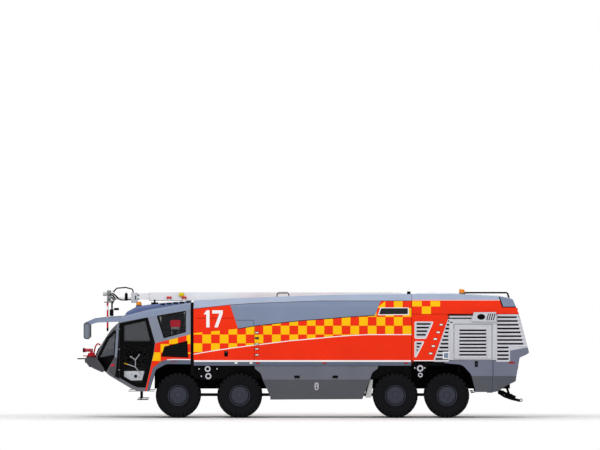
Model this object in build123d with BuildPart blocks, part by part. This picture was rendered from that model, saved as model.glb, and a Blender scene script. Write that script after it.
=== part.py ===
from build123d import *
from math import cos, hypot, pi, radians, sin
import os

# Airport crash tender, eight wheels, in millimetres.
# +X runs from nose to tail, +Y to the right-hand side, +Z up; the tyres stand on Z = 0.

# Overall sizes
half_width = 1500
body_wall = 60
panel_gap = 8
hinge_radius = 12
hinge_pin = 6
hinge_height = 40
hinge_proud = 15
barrel_sides = 8
# How far a cutting block reaches past the skin that it cuts
cut_over = 20
pin_clearance = 0.3

# Wheels and axles
axle_places = (-3810, -1930, 2825, 4400)
steered_axles = 2
wheel_height = 687
wheel_centre = half_width - 320
tyre_radius = 687
tyre_width = 600
lug_height = 47
lug_count = 28
lug_share = 0.56
bead_radius = 320
sidewall_dish = 24
rim_sides = 20
rim_inner = 262
rim_depth = 470
hub_face_radius = 218
hub_face_depth = 60
disc_offset = 90
disc_thickness = 46
spindle_radius = 70
spindle_setback = 4
spring_radius = 85
beam_clearance = 12
kingpin_offset = wheel_centre - 180
knuckle_radius = 120
knuckle_half_height = 115
kingpin_radius = 40
fork_plate = 30
fork_clearance = 5
axle_half = 125
axle_bowl_radius = 260
axle_bowl_length = 330

# Chassis frame
rail_offset = 430
rail_width = 90
rail_bottom = 880
rail_top = 1185
rail_front = -4540
rail_rear = 6340
crossmember_places = (-4450, -2870, -900, 600, 1900, 3610, 5300, 5990, 6209)
crossmember_radius = 60
crossmember_height = 1072

# Floor heights and main stations along the truck
sill_bottom = 1600
sill_top = 1760
cab_rear = -3427
body_front = -3338
body_rear = 3316
module_front = 3329
module_bottom = 1693
rear_arch_front = 4323
spine_half = 510

# Rows below give an outline in the side view: x, z, corner radius
cab_rows = (
    (-4700, 811, 0),
    (-5058, 823, 200),
    (-5235, 897, 300),
    (-5934, 1305, 300),
    (-6318, 1690, 200),
    (-6327, 1918, 300),
    (-6181, 2187, 900),
    (-5897, 2638, 900),
    (-5626, 2916, 60),
    (cab_rear, 3322, 0),
    (cab_rear, 1645, 0),
    (-4170, 1650, 300),
    (-4490, 1480, 150),
)
# Plan of the cab: x, y
cab_plan = ((-6327, -half_width + 640), (-5600, -half_width), (cab_rear, -half_width))
cab_wall = 60
glass_inset = 18
glass_thickness = 10
window_cut_inner = 700
door_cut_depth = 100

screen_low_half = half_width - 700
screen_high_half = half_width - 380
windscreen_rows = (
    (-screen_low_half, 1960),
    (-screen_high_half, 2835),
    (screen_high_half, 2835),
    (screen_low_half, 1960),
)
quarter_rows = (
    (-5714, 2640, 30),
    (-5946, 2416, 60),
    (-6062, 2190, 60),
    (-6218, 1879, 60),
    (-6235, 1700, 60),
    (-5996, 1445, 40),
    (-5768, 1850, 60),
)
rear_window_rows = (
    (-4450, 3110, 40),
    (-3580, 3262, 40),
    (-3590, 2630, 60),
    (-4240, 2450, 60),
)
door_rows = (
    (-5599, 1230, 20),
    (-5599, 2896, 20),
    (-4738, 3075, 30),
    (-4519, 2300, 60),
    (-4564, 1949, 60),
    (-4800, 925, 20),
    (-5058, 935, 60),
    (-5235, 1015, 60),
)
door_upper_glass_rows = (
    (-5475, 2835, 40),
    (-4800, 2978, 40),
    (-4640, 2330, 60),
    (-5475, 2330, 40),
)
door_lower_glass_rows = (
    (-5475, 2255, 40),
    (-4645, 2255, 40),
    (-4690, 1949, 60),
    (-4880, 1070, 40),
    (-5058, 1055, 60),
    (-5235, 1120, 60),
    (-5475, 1260, 40),
)
roof_band_rows = (
    (-5640, 2916, 0),
    (-5560, 3085, 60),
    (-4769, 3291, 0),
    (cab_rear, 3523, 0),
    (cab_rear, 3322, 0),
    (-5626, 2916, 0),
)
roof_dome_rows = (
    (-5470, 3060, 0),
    (-5400, 3221, 90),
    (-5076, 3392, 0),
    (-4357, 3490, 0),
    (cab_rear, 3555, 0),
    (cab_rear, 3300, 0),
)
roof_dome_half = half_width - 680

bumper_rows = (
    (-6665, 1821, 40),
    (-6300, 1830, 0),
    (-6074, 1500, 0),
    (-6074, 1363, 60),
    (-6373, 1491, 200),
    (-6570, 1600, 90),
    (-6660, 1720, 60),
)

# Roof line of the tank body and of the engine module
roof_line = ((body_front, 3584), (-1487, 3675), (523, 3749), (1820, 3776), (body_rear, 3776))
cap_line = ((body_front, 3340), (-2222, 3462), (-1490, 3511), (523, 3584), (body_rear, 3584))
trough_half = 380
trough_floor = 3480

# Half of the body's section: y, z
sill_inner = half_width - 100
body_section = (
    (0, sill_bottom),
    (sill_inner, sill_bottom),
    (sill_inner, sill_top),
    (half_width, sill_top),
    (half_width, 2850),
    (half_width - 45, 3400),
    (half_width - 320, 3790),
    (0, 3830),
)

module_rows = (
    (module_front, module_bottom, 0),
    (module_front, 3776, 0),
    (4050, 3816, 900),
    (4870, 3776, 900),
    (6020, 3715, 90),
    (6409, 3633, 120),
    (6598, 3190, 60),
    (6870, 2160, 0),
    (6330, 2060, 0),
    (6330, sill_top, 0),
    (rear_arch_front, sill_top, 0),
    (rear_arch_front, module_bottom, 0),
)
module_cavity_rows = (
    (module_front + body_wall, module_bottom - 10, 0),
    (module_front + body_wall, 3400, 60),
    (6360, 3400, 60),
    (6500, 3160, 60),
    (6640, 2640, 0),
    (6260, 2060, 0),
    (6260, module_bottom - 10, 0),
)
rear_lower_rows = (
    (rear_arch_front, sill_top, 0),
    (6330, sill_top, 0),
    (6330, 2060, 0),
    (6870, 2160, 0),
    (6912, 1998, 40),
    (6840, 1940, 30),
    (6623, 1845, 60),
    (6523, 1272, 60),
    (6501, 1119, 60),
    (6220, 991, 40),
    (5986, 830, 40),
    (5857, 793, 0),
    (5278, 793, 0),
    (5141, 1339, 300),
    (4870, 1630, 300),
    (rear_arch_front, 1677, 0),
)
side_grille_rows = (
    (4475, 3135, 0),
    (6560, 3135, 0),
    (6795, 2200, 0),
    (6320, 2100, 0),
    (6320, sill_top + 10, 0),
    (3990, sill_top + 10, 0),
)
engine_door_rows = (
    (4604, 1790, 15),
    (4604, 2873, 15),
    (5788, 2873, 15),
    (5788, 1790, 15),
)
upper_window_rows = (
    (3430, 2930, 0),
    (3970, 2930, 0),
    (3750, 2440, 0),
    (3430, 2440, 0),
)
lower_window_rows = (
    (3430, 2330, 0),
    (3690, 2330, 0),
    (3455, 1870, 0),
    (3430, 1870, 0),
)
skirt_rows = (
    (-1472, 1592, 0),
    (-1468, 1510, 60),
    (-1282, 1363, 200),
    (-1215, 1147, 300),
    (-996, 656, 0),
    (-996, 561, 0),
    (1819, 576, 0),
    (2051, 1186, 300),
    (2118, 1391, 200),
    (2290, 1510, 60),
    (2295, 1592, 0),
)
locker_front = -960
locker_rear = 1780
locker_bottom = 610
flap_thickness = 60
locker_mouth = half_width - flap_thickness - 6


def rounded_line(rows):
    """The closed line through rows of x, z and corner radius."""
    return FilletPolyline(*[(x, z) for x, z, _ in rows], radius=[r for _, _, r in rows], close=True)


def side_sketch(rows, left_of_centre=0.0):
    """A closed outline in the side view, from rows of x, z and corner radius."""
    with BuildSketch(Plane.XZ.offset(left_of_centre), mode=Mode.PRIVATE) as drawn:
        with BuildLine():
            rounded_line(rows)
        make_face()
    return drawn.sketch


def left_plate(rows, inner, outer):
    """A plate with a side outline, between two distances left of the centre line."""
    return extrude(side_sketch(rows, inner), amount=outer - inner, mode=Mode.PRIVATE)


def both_sides(shape):
    """The shape and its mirror image on the right-hand side."""
    return [shape, mirror(shape, about=Plane.XZ, mode=Mode.PRIVATE)]


def save(piece, name):
    """Labels the finished piece and writes its file."""
    piece.part.label = name
    export_step(piece.part, f"parts/{name}.step")


def pin_hole(pin_radius, sides):
    """A many-sided hole with its flats just clear of a round pin."""
    return RegularPolygon(pin_radius + pin_clearance, sides, major_radius=False, mode=Mode.SUBTRACT)


def upright_hinge(spot, heights, reach):
    """Fixed barrels and moving knuckles of a left-hand hinge about an upright line at spot (x, y)."""
    with BuildPart(mode=Mode.PRIVATE) as fixed:
        for height in heights:
            with BuildSketch(Plane.XY.offset(height)):
                with Locations(spot):
                    RegularPolygon(hinge_radius, barrel_sides)
                with Locations((spot[0] - reach / 2, spot[1] + hinge_proud / 2 + reach / 4)):
                    Rectangle(reach, reach / 2 + hinge_proud)
                with Locations(spot):
                    pin_hole(hinge_pin, barrel_sides)
            extrude(amount=hinge_height)
    with BuildPart(mode=Mode.PRIVATE) as moving:
        for height in heights:
            with BuildSketch(Plane.XY.offset(height - hinge_height)):
                with Locations(spot):
                    Circle(hinge_pin)
            extrude(amount=3 * hinge_height)
            for start in (height - hinge_height, height + hinge_height + 1):
                with BuildSketch(Plane.XY.offset(start)):
                    with Locations(spot):
                        RegularPolygon(hinge_radius, barrel_sides)
                    with Locations((spot[0] + reach / 2, spot[1] + hinge_proud / 2)):
                        Rectangle(reach, hinge_proud)
                extrude(amount=hinge_height - 1)
    return fixed.part, moving.part


os.makedirs("parts", exist_ok=True)


# Tyre: a ring with lugs all round and a dished sidewall, shared by the eight wheels
with BuildPart() as tyre_form:
    with BuildSketch(Plane.XZ):
        RegularPolygon(radius=tyre_radius - lug_height, side_count=lug_count)
        with PolarLocations(tyre_radius - lug_height, lug_count):
            Rectangle(2 * lug_height, lug_share * 2 * pi * tyre_radius / lug_count)
        RegularPolygon(radius=bead_radius, side_count=rim_sides, mode=Mode.SUBTRACT)
    extrude(amount=tyre_width / 2, both=True)
    for face_side in (-1, 1):
        with BuildSketch(Plane.XZ.offset(face_side * (tyre_width / 2 - sidewall_dish))):
            RegularPolygon(radius=tyre_radius - 2.4 * lug_height, side_count=24)
        extrude(amount=face_side * sidewall_dish, mode=Mode.SUBTRACT)

# Rim: a barrel with a closed disc and a round hub face on its outer side
with BuildPart() as rim_form:
    with BuildSketch(Plane.XZ):
        RegularPolygon(radius=bead_radius - pin_clearance, side_count=rim_sides)
        RegularPolygon(radius=rim_inner, side_count=rim_sides, mode=Mode.SUBTRACT)
    extrude(amount=rim_depth / 2, both=True)
    with BuildSketch(Plane.XZ.offset(disc_offset)):
        RegularPolygon(radius=rim_inner + 10, side_count=rim_sides)
        Circle(spindle_radius + pin_clearance, mode=Mode.SUBTRACT)
    extrude(amount=disc_thickness)
    with BuildSketch(Plane.XZ.offset(disc_offset + disc_thickness)):
        RegularPolygon(radius=hub_face_radius, side_count=rim_sides)
    extrude(amount=hub_face_depth)

# Knuckle: a round body on its kingpin, with the stub axle that carries the wheel
spindle_reach = wheel_centre + disc_offset + disc_thickness - spindle_setback
with BuildPart() as knuckle_form:
    with BuildSketch(Plane.XY.offset(wheel_height - knuckle_half_height)):
        with Locations((0, -kingpin_offset)):
            RegularPolygon(radius=knuckle_radius, side_count=16)
    extrude(amount=2 * knuckle_half_height)
    with BuildSketch(Plane.XY.offset(wheel_height - knuckle_half_height - fork_clearance - fork_plate)):
        with Locations((0, -kingpin_offset)):
            Circle(kingpin_radius)
    extrude(amount=2 * (knuckle_half_height + fork_clearance + fork_plate))
    with BuildSketch(Plane.XZ.offset(kingpin_offset)):
        with Locations((0, wheel_height)):
            Circle(spindle_radius)
    extrude(amount=spindle_reach - kingpin_offset)

for axle, axle_x in enumerate(axle_places):
    for side, side_name in ((-1, "left"), (1, "right")):
        name = f"{axle + 1}_{side_name}"
        wheel_spot = Location((axle_x, side * wheel_centre, wheel_height))
        turn = 0 if side < 0 else 180
        with BuildPart() as tyre:
            add(tyre_form.part.moved(wheel_spot))
        save(tyre, f"tyre_{name}")
        with BuildPart() as rim:
            add(rim_form.part.moved(wheel_spot * Location((0, 0, 0), (0, 0, turn))))
        save(rim, f"rim_{name}")
        if axle < steered_axles:
            with BuildPart() as knuckle:
                add(knuckle_form.part.moved(Location((axle_x, 0, 0), (0, 0, turn))))
            save(knuckle, f"knuckle_{name}")

# Axle housings: a beam with the differential bowl, forks for the knuckles or spindles for the wheels,
# and a coil spring seat under each frame rail
fork_half_height = knuckle_half_height + fork_clearance + fork_plate
fork_half_width = 85
fork_arm_end = kingpin_offset - knuckle_radius - 2 * fork_clearance
fork_root = kingpin_offset - 235
with BuildPart() as axle_housings:
    for axle, axle_x in enumerate(axle_places):
        beam_end = fork_root if axle < steered_axles else wheel_centre - rim_depth / 2 - beam_clearance
        with BuildSketch(Plane.XZ.offset(-beam_end)):
            with Locations((axle_x, wheel_height)):
                RegularPolygon(radius=axle_half, side_count=8, rotation=22.5, major_radius=False)
        extrude(amount=2 * beam_end)
        with BuildSketch(Plane.YZ.offset(axle_x - axle_bowl_length / 2)):
            with Locations((0, wheel_height)):
                RegularPolygon(radius=axle_bowl_radius, side_count=16)
        extrude(amount=axle_bowl_length)
        for side in (-1, 1):
            spring_spot = (axle_x, side * rail_offset)
            with BuildSketch(Plane.XY.offset(wheel_height)):
                with Locations(spring_spot):
                    RegularPolygon(radius=spring_radius, side_count=12)
            extrude(amount=rail_bottom - wheel_height - pin_clearance)
            if axle < steered_axles:
                for low in (-fork_half_height, fork_half_height - fork_plate):
                    with BuildSketch(Plane.XY.offset(wheel_height + low)):
                        with Locations((axle_x, side * (kingpin_offset + fork_root) / 2)):
                            Rectangle(2 * fork_half_width, kingpin_offset - fork_root)
                        with Locations((axle_x, side * kingpin_offset)):
                            RegularPolygon(radius=fork_half_width, side_count=12)
                            pin_hole(kingpin_radius, 12)
                    extrude(amount=fork_plate)
                with BuildSketch(Plane.XY.offset(wheel_height - fork_half_height)):
                    with Locations((axle_x, side * (fork_root + fork_arm_end) / 2)):
                        Rectangle(2 * fork_half_width, fork_arm_end - fork_root)
                extrude(amount=2 * fork_half_height)
            else:
                with BuildSketch(Plane.XZ.offset(-side * (beam_end - beam_clearance))):
                    with Locations((axle_x, wheel_height)):
                        Circle(spindle_radius)
                extrude(amount=-side * (spindle_reach - beam_end + beam_clearance))
save(axle_housings, "axle_housings")

# Chassis frame: two rails joined by tubes, with the tow bar hung from the last two
tow_half = 30
tow_eye = (6687, 518)
tow_eye_radius = 50
tow_bore_radius = 25
tow_bar_points = (
    (5975, 1030),
    (5975, 720),
    (6163, 600),
    (6394, 520),
    (6650, 462),
    (6664, 545),
    (6420, 600),
    (6360, 700),
    (6240, 1030),
    (6170, 1030),
    (6290, 680),
    (6180, 680),
    (6040, 760),
    (6040, 1030),
)
with BuildPart() as chassis_frame:
    for side in (-1, 1):
        with BuildSketch(Plane.YZ.offset(rail_front)):
            with Locations((side * rail_offset, (rail_bottom + rail_top) / 2)):
                Rectangle(rail_width, rail_top - rail_bottom)
        extrude(amount=rail_rear - rail_front)
    for place in crossmember_places:
        with BuildSketch(Plane.XZ.offset(-rail_offset)):
            with Locations((place, crossmember_height)):
                RegularPolygon(radius=crossmember_radius, side_count=8)
        extrude(amount=2 * rail_offset)
    with BuildSketch(Plane.XZ.offset(-tow_half)):
        with BuildLine():
            Polyline(*tow_bar_points, close=True)
        make_face()
        with Locations(tow_eye):
            Circle(tow_eye_radius)
            Circle(tow_bore_radius, mode=Mode.SUBTRACT)
    extrude(amount=2 * tow_half)
save(chassis_frame, "chassis_frame")


# A height above the whole truck
above_all = 4200


def cab_volume(inset):
    """The cab's outer form drawn in by an inset: the side, plan and front outlines cut one block."""
    with BuildPart(mode=Mode.PRIVATE) as volume:
        with BuildSketch(Plane.XZ):
            with BuildLine():
                rounded_line(cab_rows)
            make_face()
            if inset:
                offset(amount=-inset, kind=Kind.INTERSECTION)
        extrude(amount=half_width, both=True)
        with BuildSketch(Plane.XY):
            with BuildLine():
                Polyline(*cab_plan, *[(x, -y) for x, y in reversed(cab_plan)], close=True)
            make_face()
            if inset:
                offset(amount=-inset, kind=Kind.INTERSECTION)
        extrude(amount=above_all, mode=Mode.INTERSECT)
    return volume.part


cab_outer = cab_volume(0)
cab_inner = cab_volume(cab_wall)
glass_skin = cab_volume(glass_inset) - cab_volume(glass_inset + glass_thickness)


screen_cut = (-6500, -5600)
screen_corner = 60


def windscreen_cutter():
    """The windscreen's opening, looking along the truck."""
    with BuildPart(mode=Mode.PRIVATE) as cutter:
        with BuildSketch(Plane.YZ.offset(screen_cut[0])):
            with BuildLine():
                FilletPolyline(*windscreen_rows, radius=screen_corner, close=True)
            make_face()
        extrude(amount=screen_cut[1] - screen_cut[0])
    return cutter.part


window_cutters = [windscreen_cutter()]
for rows in (quarter_rows, rear_window_rows):
    window_cutters += both_sides(left_plate(rows, window_cut_inner, half_width + cut_over))
door_cutters = both_sides(left_plate(door_rows, half_width - door_cut_depth, half_width + cut_over))

door_hinge_spot = (-5595, -half_width - hinge_proud)
door_hinge_heights = (1450, 2080, 2700)
hinge_reach = 44
door_barrels, door_knuckles = upright_hinge(door_hinge_spot, door_hinge_heights, hinge_reach)
with BuildPart() as cab_shell:
    add(cab_outer)
    add(cab_inner, mode=Mode.SUBTRACT)
    for cutter in window_cutters + door_cutters:
        add(cutter, mode=Mode.SUBTRACT)
    for barrels in both_sides(door_barrels - cab_outer):
        add(barrels)
save(cab_shell, "cab_shell")

with BuildPart() as cab_glass:
    for cutter in window_cutters:
        add(glass_skin & cutter)
save(cab_glass, "cab_glass")

glass_outer = half_width - glass_inset
glass_inner = glass_outer - glass_thickness
for side, side_name in ((-1, "left"), (1, "right")):
    with BuildPart() as door_frame:
        with BuildSketch(Plane.XZ.offset(half_width - cab_wall)):
            with BuildLine():
                rounded_line(door_rows)
            make_face()
            offset(amount=-panel_gap, kind=Kind.INTERSECTION)
        extrude(amount=cab_wall)
        for rows in (door_upper_glass_rows, door_lower_glass_rows):
            add(left_plate(rows, half_width - door_cut_depth, half_width + cut_over), mode=Mode.SUBTRACT)
        add(door_knuckles)
        if side > 0:
            mirror(about=Plane.XZ, mode=Mode.REPLACE)
    save(door_frame, f"cab_door_{side_name}")
    with BuildPart() as door_glass:
        for rows in (door_upper_glass_rows, door_lower_glass_rows):
            add(left_plate(rows, glass_inner, glass_outer))
        if side > 0:
            mirror(about=Plane.XZ, mode=Mode.REPLACE)
    save(door_glass, f"cab_door_glass_{side_name}")


def rounded_roof(rows, half, rounding):
    """A roof form from its side outline, with the long edges along both sides of its top rounded."""
    (x0, z0, _), (x1, z1, _) = rows[0], rows[-2]
    with BuildPart(mode=Mode.PRIVATE) as form:
        extrude(side_sketch(rows), amount=half, both=True)
        top_edges = []
        for edge in form.edges():
            spot = edge.center()
            chord = z0 + (z1 - z0) * (spot.X - x0) / (x1 - x0)
            if abs(abs(spot.Y) - half) < 1 and spot.Z > chord + 10 and spot.X < cab_rear - 1:
                top_edges.append(edge)
        fillet(top_edges, rounding)
    return form.part


# Cab roof: the band over the doors, the raised middle with its beacon pads, and the two mirrors on their arms
mirror_arm_rows = (
    (-6640, 2860, 0),
    (-6634, 2907, 30),
    (-6400, 3010, 200),
    (-6052, 3056, 300),
    (-5560, 3090, 0),
    (-5560, 2950, 0),
    (-5702, 2934, 200),
    (-6284, 2916, 300),
    (-6495, 2846, 60),
)
mirror_head_rows = (
    (-6692, 2897, 50),
    (-6512, 2897, 50),
    (-6512, 2406, 60),
    (-6692, 2440, 60),
)
mirror_overhang = 90
mirror_head_width = 260
mirror_arm_width = 80
mirror_head_outer = half_width + mirror_overhang
mirror_arm_setback = 115
mirror_arm_outer = mirror_head_outer - mirror_arm_setback
mirror_arm_inner = mirror_arm_outer - mirror_arm_width
mirror_head_inner = mirror_head_outer - mirror_head_width
roof_band_rounding = 60
roof_dome_rounding = 70
beacon_pad_height = 120
front_beacon_spots = ((-5025, -600), (-5025, 600))
beacon_pad_radius = 85
front_beacon_seat = 3422
with BuildPart() as cab_roof:
    add(rounded_roof(roof_band_rows, half_width, roof_band_rounding))
    add(rounded_roof(roof_dome_rows, roof_dome_half, roof_dome_rounding))
    with BuildSketch(Plane.XY.offset(front_beacon_seat - beacon_pad_height)):
        with Locations(*front_beacon_spots):
            RegularPolygon(radius=beacon_pad_radius, side_count=12)
    extrude(amount=beacon_pad_height)
    for shape in both_sides(left_plate(mirror_arm_rows, mirror_arm_inner, mirror_arm_outer)):
        add(shape)
    for shape in both_sides(left_plate(mirror_head_rows, mirror_head_inner, mirror_head_outer)):
        add(shape)
    add(cab_outer, mode=Mode.SUBTRACT)
save(cab_roof, "cab_roof")

# Cab floor with the step box inside each door
floor_half = half_width - 520
floor_front = -6150
floor_rear = -4420
floor_bottom = 900
floor_top = 1540
step_box_front = -5494
step_box_rear = -4836
step_box_top = 1435
step_box_outer = half_width - 100
with BuildPart() as cab_floor:
    with BuildSketch(Plane.XY.offset(floor_bottom)):
        with Locations(((floor_front + floor_rear) / 2, 0)):
            Rectangle(floor_rear - floor_front, 2 * floor_half)
    extrude(amount=floor_top - floor_bottom)
    with BuildSketch(Plane.XY.offset(floor_bottom)):
        with Locations(((step_box_front + step_box_rear) / 2, 0)):
            Rectangle(step_box_rear - step_box_front, 2 * step_box_outer)
    extrude(amount=step_box_top - floor_bottom)
    add(cab_inner, mode=Mode.INTERSECT)
save(cab_floor, "cab_floor")

# Dashboard with the steering column and wheel
dash_half = half_width - 540
dash_rows = (
    (-6200, floor_top, 0),
    (-6200, 1900, 0),
    (-6000, 2050, 60),
    (-5750, 2090, 60),
    (-5600, 2000, 60),
    (-5680, 1880, 60),
    (-5900, floor_top, 0),
)
steering_side = -480
steering_hub = (-5455, 2120)
steering_lean = 45
steering_column = 380
steering_radius = 225
steering_grip = 17
steering_tube = 38
steering_spoke = 32
wheel_plane = Plane(
    origin=(steering_hub[0], steering_side, steering_hub[1]),
    x_dir=(0, 1, 0),
    z_dir=(sin(radians(steering_lean)), 0, cos(radians(steering_lean))),
)
with BuildPart() as dashboard:
    extrude(side_sketch(dash_rows), amount=dash_half, both=True)
    add(cab_inner, mode=Mode.INTERSECT)
    with BuildSketch(wheel_plane):
        RegularPolygon(radius=steering_tube, side_count=10)
    extrude(amount=-steering_column)
    with BuildSketch(wheel_plane.offset(-steering_grip)):
        RegularPolygon(radius=steering_radius, side_count=20)
        RegularPolygon(radius=steering_radius - 2 * steering_grip, side_count=20, mode=Mode.SUBTRACT)
        Rectangle(2 * steering_radius - 3 * steering_grip, steering_spoke)
        with Locations((0, steering_radius / -2)):
            Rectangle(steering_spoke, steering_radius - steering_grip)
    extrude(amount=2 * steering_grip)
save(dashboard, "dashboard")

# Seats: two on the front floor and two over the wheel arches
seat_half = 250
seat_rows = (
    (-40, 0, 0),
    (-90, 330, 40),
    (-60, 480, 60),
    (330, 470, 0),
    (470, 1150, 30),
    (560, 1150, 30),
    (450, 340, 60),
    (300, 0, 0),
)
front_seat_offset = 480
rear_seat_offset = 620
rear_seat_foot = 1690
# x and z of the seat's foot, y of its middle
seat_spots = (
    (-5060, floor_top, -front_seat_offset),
    (-5060, floor_top, front_seat_offset),
    (-4150, rear_seat_foot, -rear_seat_offset),
    (-4150, rear_seat_foot, rear_seat_offset),
)
with BuildPart() as seats:
    for seat_x, seat_z, seat_y in seat_spots:
        rows = [(seat_x + x, seat_z + z, r) for x, z, r in seat_rows]
        add(left_plate(rows, -seat_y - seat_half, -seat_y + seat_half))
    add(cab_shell.part, mode=Mode.SUBTRACT)
save(seats, "seats")

# Bumper with the pedestal of the front turret and pockets for the headlamps
bumper_plan = (
    (-6700, -half_width + 800),
    (-6560, -half_width + 560),
    (-6330, -half_width + 410),
    (-6040, -half_width + 250),
)
headlamp_spots = tuple((side * offset_y, 1755) for side in (-1, 1) for offset_y in (420, 575))
headlamp_radius = 58
headlamp_front = -6678
headlamp_back = -6600
turret_x = -6480
turret_seat = 1862
pedestal_radius = 150
pedestal_foot = 1780
lamp_cut_depth = 200
with BuildPart() as bumper:
    extrude(side_sketch(bumper_rows), amount=half_width, both=True)
    with BuildSketch(Plane.XY):
        with BuildLine():
            Polyline(*bumper_plan, *[(x, -y) for x, y in reversed(bumper_plan)], close=True)
        make_face()
    extrude(amount=above_all, mode=Mode.INTERSECT)
    add(cab_outer, mode=Mode.SUBTRACT)
    with BuildSketch(Plane.XY.offset(pedestal_foot)):
        with Locations((turret_x, 0)):
            RegularPolygon(radius=pedestal_radius, side_count=16)
    extrude(amount=turret_seat - pedestal_foot)
    with BuildSketch(Plane.YZ.offset(headlamp_back)):
        with Locations(*headlamp_spots):
            RegularPolygon(radius=headlamp_radius, side_count=16)
    extrude(amount=-lamp_cut_depth, mode=Mode.SUBTRACT)
save(bumper, "bumper")

# Steps: the ledge ahead of the bumper, the stirrup under each door and its small plate
ledge_front = -6906.7
ledge_rear = -6630
ledge_half = 340
ledge_height = 1776
stirrup_size = (335, 240)
stirrup_middle = -4890
stirrup_post_middle = -4943
stirrup_post_size = (36, 200)
stirrup_post_height = 300
stirrup_offset = half_width - 170
stirrup_bottom = 549
stirrup_thickness = 26
with BuildPart() as steps:
    with BuildSketch(Plane.XY.offset(ledge_height)):
        with Locations(((ledge_front + ledge_rear) / 2, 0)):
            Rectangle(ledge_rear - ledge_front, 2 * ledge_half)
    extrude(amount=stirrup_thickness)
    add(bumper.part, mode=Mode.SUBTRACT)
    for side in (-1, 1):
        with BuildSketch(Plane.XY.offset(stirrup_bottom)):
            with Locations((stirrup_middle, side * stirrup_offset)):
                Rectangle(*stirrup_size)
        extrude(amount=stirrup_thickness)
        with BuildSketch(Plane.XY.offset(stirrup_bottom + stirrup_thickness)):
            with Locations((stirrup_post_middle, side * stirrup_offset)):
                Rectangle(*stirrup_post_size)
        extrude(amount=stirrup_post_height)
    add(cab_outer, mode=Mode.SUBTRACT)
save(steps, "steps")

# Front turret: a column that pans on the bumper and a barrel that tilts in its yoke
turret_rise = 188
turret_tilt_height = turret_seat + turret_rise
turret_foot_radius = 110
turret_pin_radius = 20
turret_foot_top = turret_seat + 98
cheek_inner = 72
cheek_thickness = 26
cheek_width = 90
cheek_radius = 45
hoop_tube = 22
nose_radius = 48
collar_radius = 62
with BuildPart() as turret_column:
    with BuildSketch(Plane.XY.offset(turret_seat + pin_clearance)):
        with Locations((turret_x, 0)):
            Circle(turret_foot_radius)
    extrude(amount=turret_foot_top - turret_seat)
    for side in (-1, 1):
        with BuildSketch(Plane.XZ.offset(-side * cheek_inner)):
            with Locations((turret_x, (turret_seat + turret_tilt_height) / 2 + cheek_radius)):
                Rectangle(cheek_width, turret_tilt_height - turret_seat - cheek_radius)
            with Locations((turret_x, turret_tilt_height)):
                RegularPolygon(radius=cheek_radius, side_count=12)
                Circle(turret_pin_radius + pin_clearance, mode=Mode.SUBTRACT)
        extrude(amount=-side * cheek_thickness)
    with BuildLine() as hoop_path:
        FilletPolyline(
            (turret_x + 70, 0, turret_tilt_height - 125),
            (turret_x + 120, 0, turret_tilt_height + 110),
            (turret_x + 200, 0, turret_tilt_height + 230),
            (turret_x + 275, 0, turret_tilt_height + 150),
            radius=(90, 60),
        )
    with BuildSketch(Plane(origin=hoop_path.line @ 0, z_dir=hoop_path.line % 0)):
        RegularPolygon(radius=hoop_tube, side_count=8)
    sweep(path=hoop_path.line)
save(turret_column, "turret_column")

with BuildPart() as turret_barrel:
    with BuildSketch(Plane.YZ.offset(turret_x - 250)):
        with Locations((0, turret_tilt_height)):
            RegularPolygon(radius=nose_radius, side_count=12)
    extrude(amount=300)
    with BuildSketch(Plane.YZ.offset(turret_x - 262)):
        with Locations((0, turret_tilt_height)):
            RegularPolygon(radius=collar_radius, side_count=12)
    extrude(amount=90)
    with BuildSketch(Plane.XZ.offset(-cheek_inner - cheek_thickness)):
        with Locations((turret_x, turret_tilt_height)):
            Circle(turret_pin_radius)
    extrude(amount=2 * (cheek_inner + cheek_thickness))
save(turret_barrel, "turret_barrel")


def section_block(front, rear):
    """A block with the body's section, between two stations along the truck."""
    with BuildPart(mode=Mode.PRIVATE) as block:
        with BuildSketch(Plane.YZ.offset(front)):
            with BuildLine():
                Polyline(*body_section, close=True)
            make_face()
            mirror(about=Plane.YZ)
        extrude(amount=rear - front)
    return block.part


def under_line(line, bottom):
    """The side outline below a line of x and z points, down to a level."""
    rows = [(line[0][0], bottom, 0)] + [(x, z, 0) for x, z in line] + [(line[-1][0], bottom, 0)]
    return extrude(side_sketch(rows), amount=half_width + cut_over, both=True, mode=Mode.PRIVATE)


# Tank body and its roof cap, with the boom's trough along the middle
with BuildPart(mode=Mode.PRIVATE) as trough:
    with BuildSketch(Plane.XY.offset(trough_floor)):
        with Locations(((body_front + body_rear) / 2, 0)):
            Rectangle(body_rear - body_front + 2 * cut_over, 2 * trough_half)
    extrude(amount=above_all - trough_floor)

body_block = section_block(body_front, body_rear)
body_side = under_line(cap_line, sill_bottom)
with BuildPart() as tank_body:
    add(body_block)
    add(body_side, mode=Mode.INTERSECT)
    add(trough.part, mode=Mode.SUBTRACT)
    with BuildSketch(Plane.XY.offset(rail_top)):
        with Locations(((body_front + body_rear) / 2, 0)):
            Rectangle(body_rear - body_front, 2 * spine_half)
    extrude(amount=sill_bottom - rail_top)
save(tank_body, "tank_body")

with BuildPart() as roof_cap:
    add(body_block)
    add(under_line(roof_line, sill_bottom), mode=Mode.INTERSECT)
    add(body_side, mode=Mode.SUBTRACT)
    add(trough.part, mode=Mode.SUBTRACT)
save(roof_cap, "roof_cap")

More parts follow.
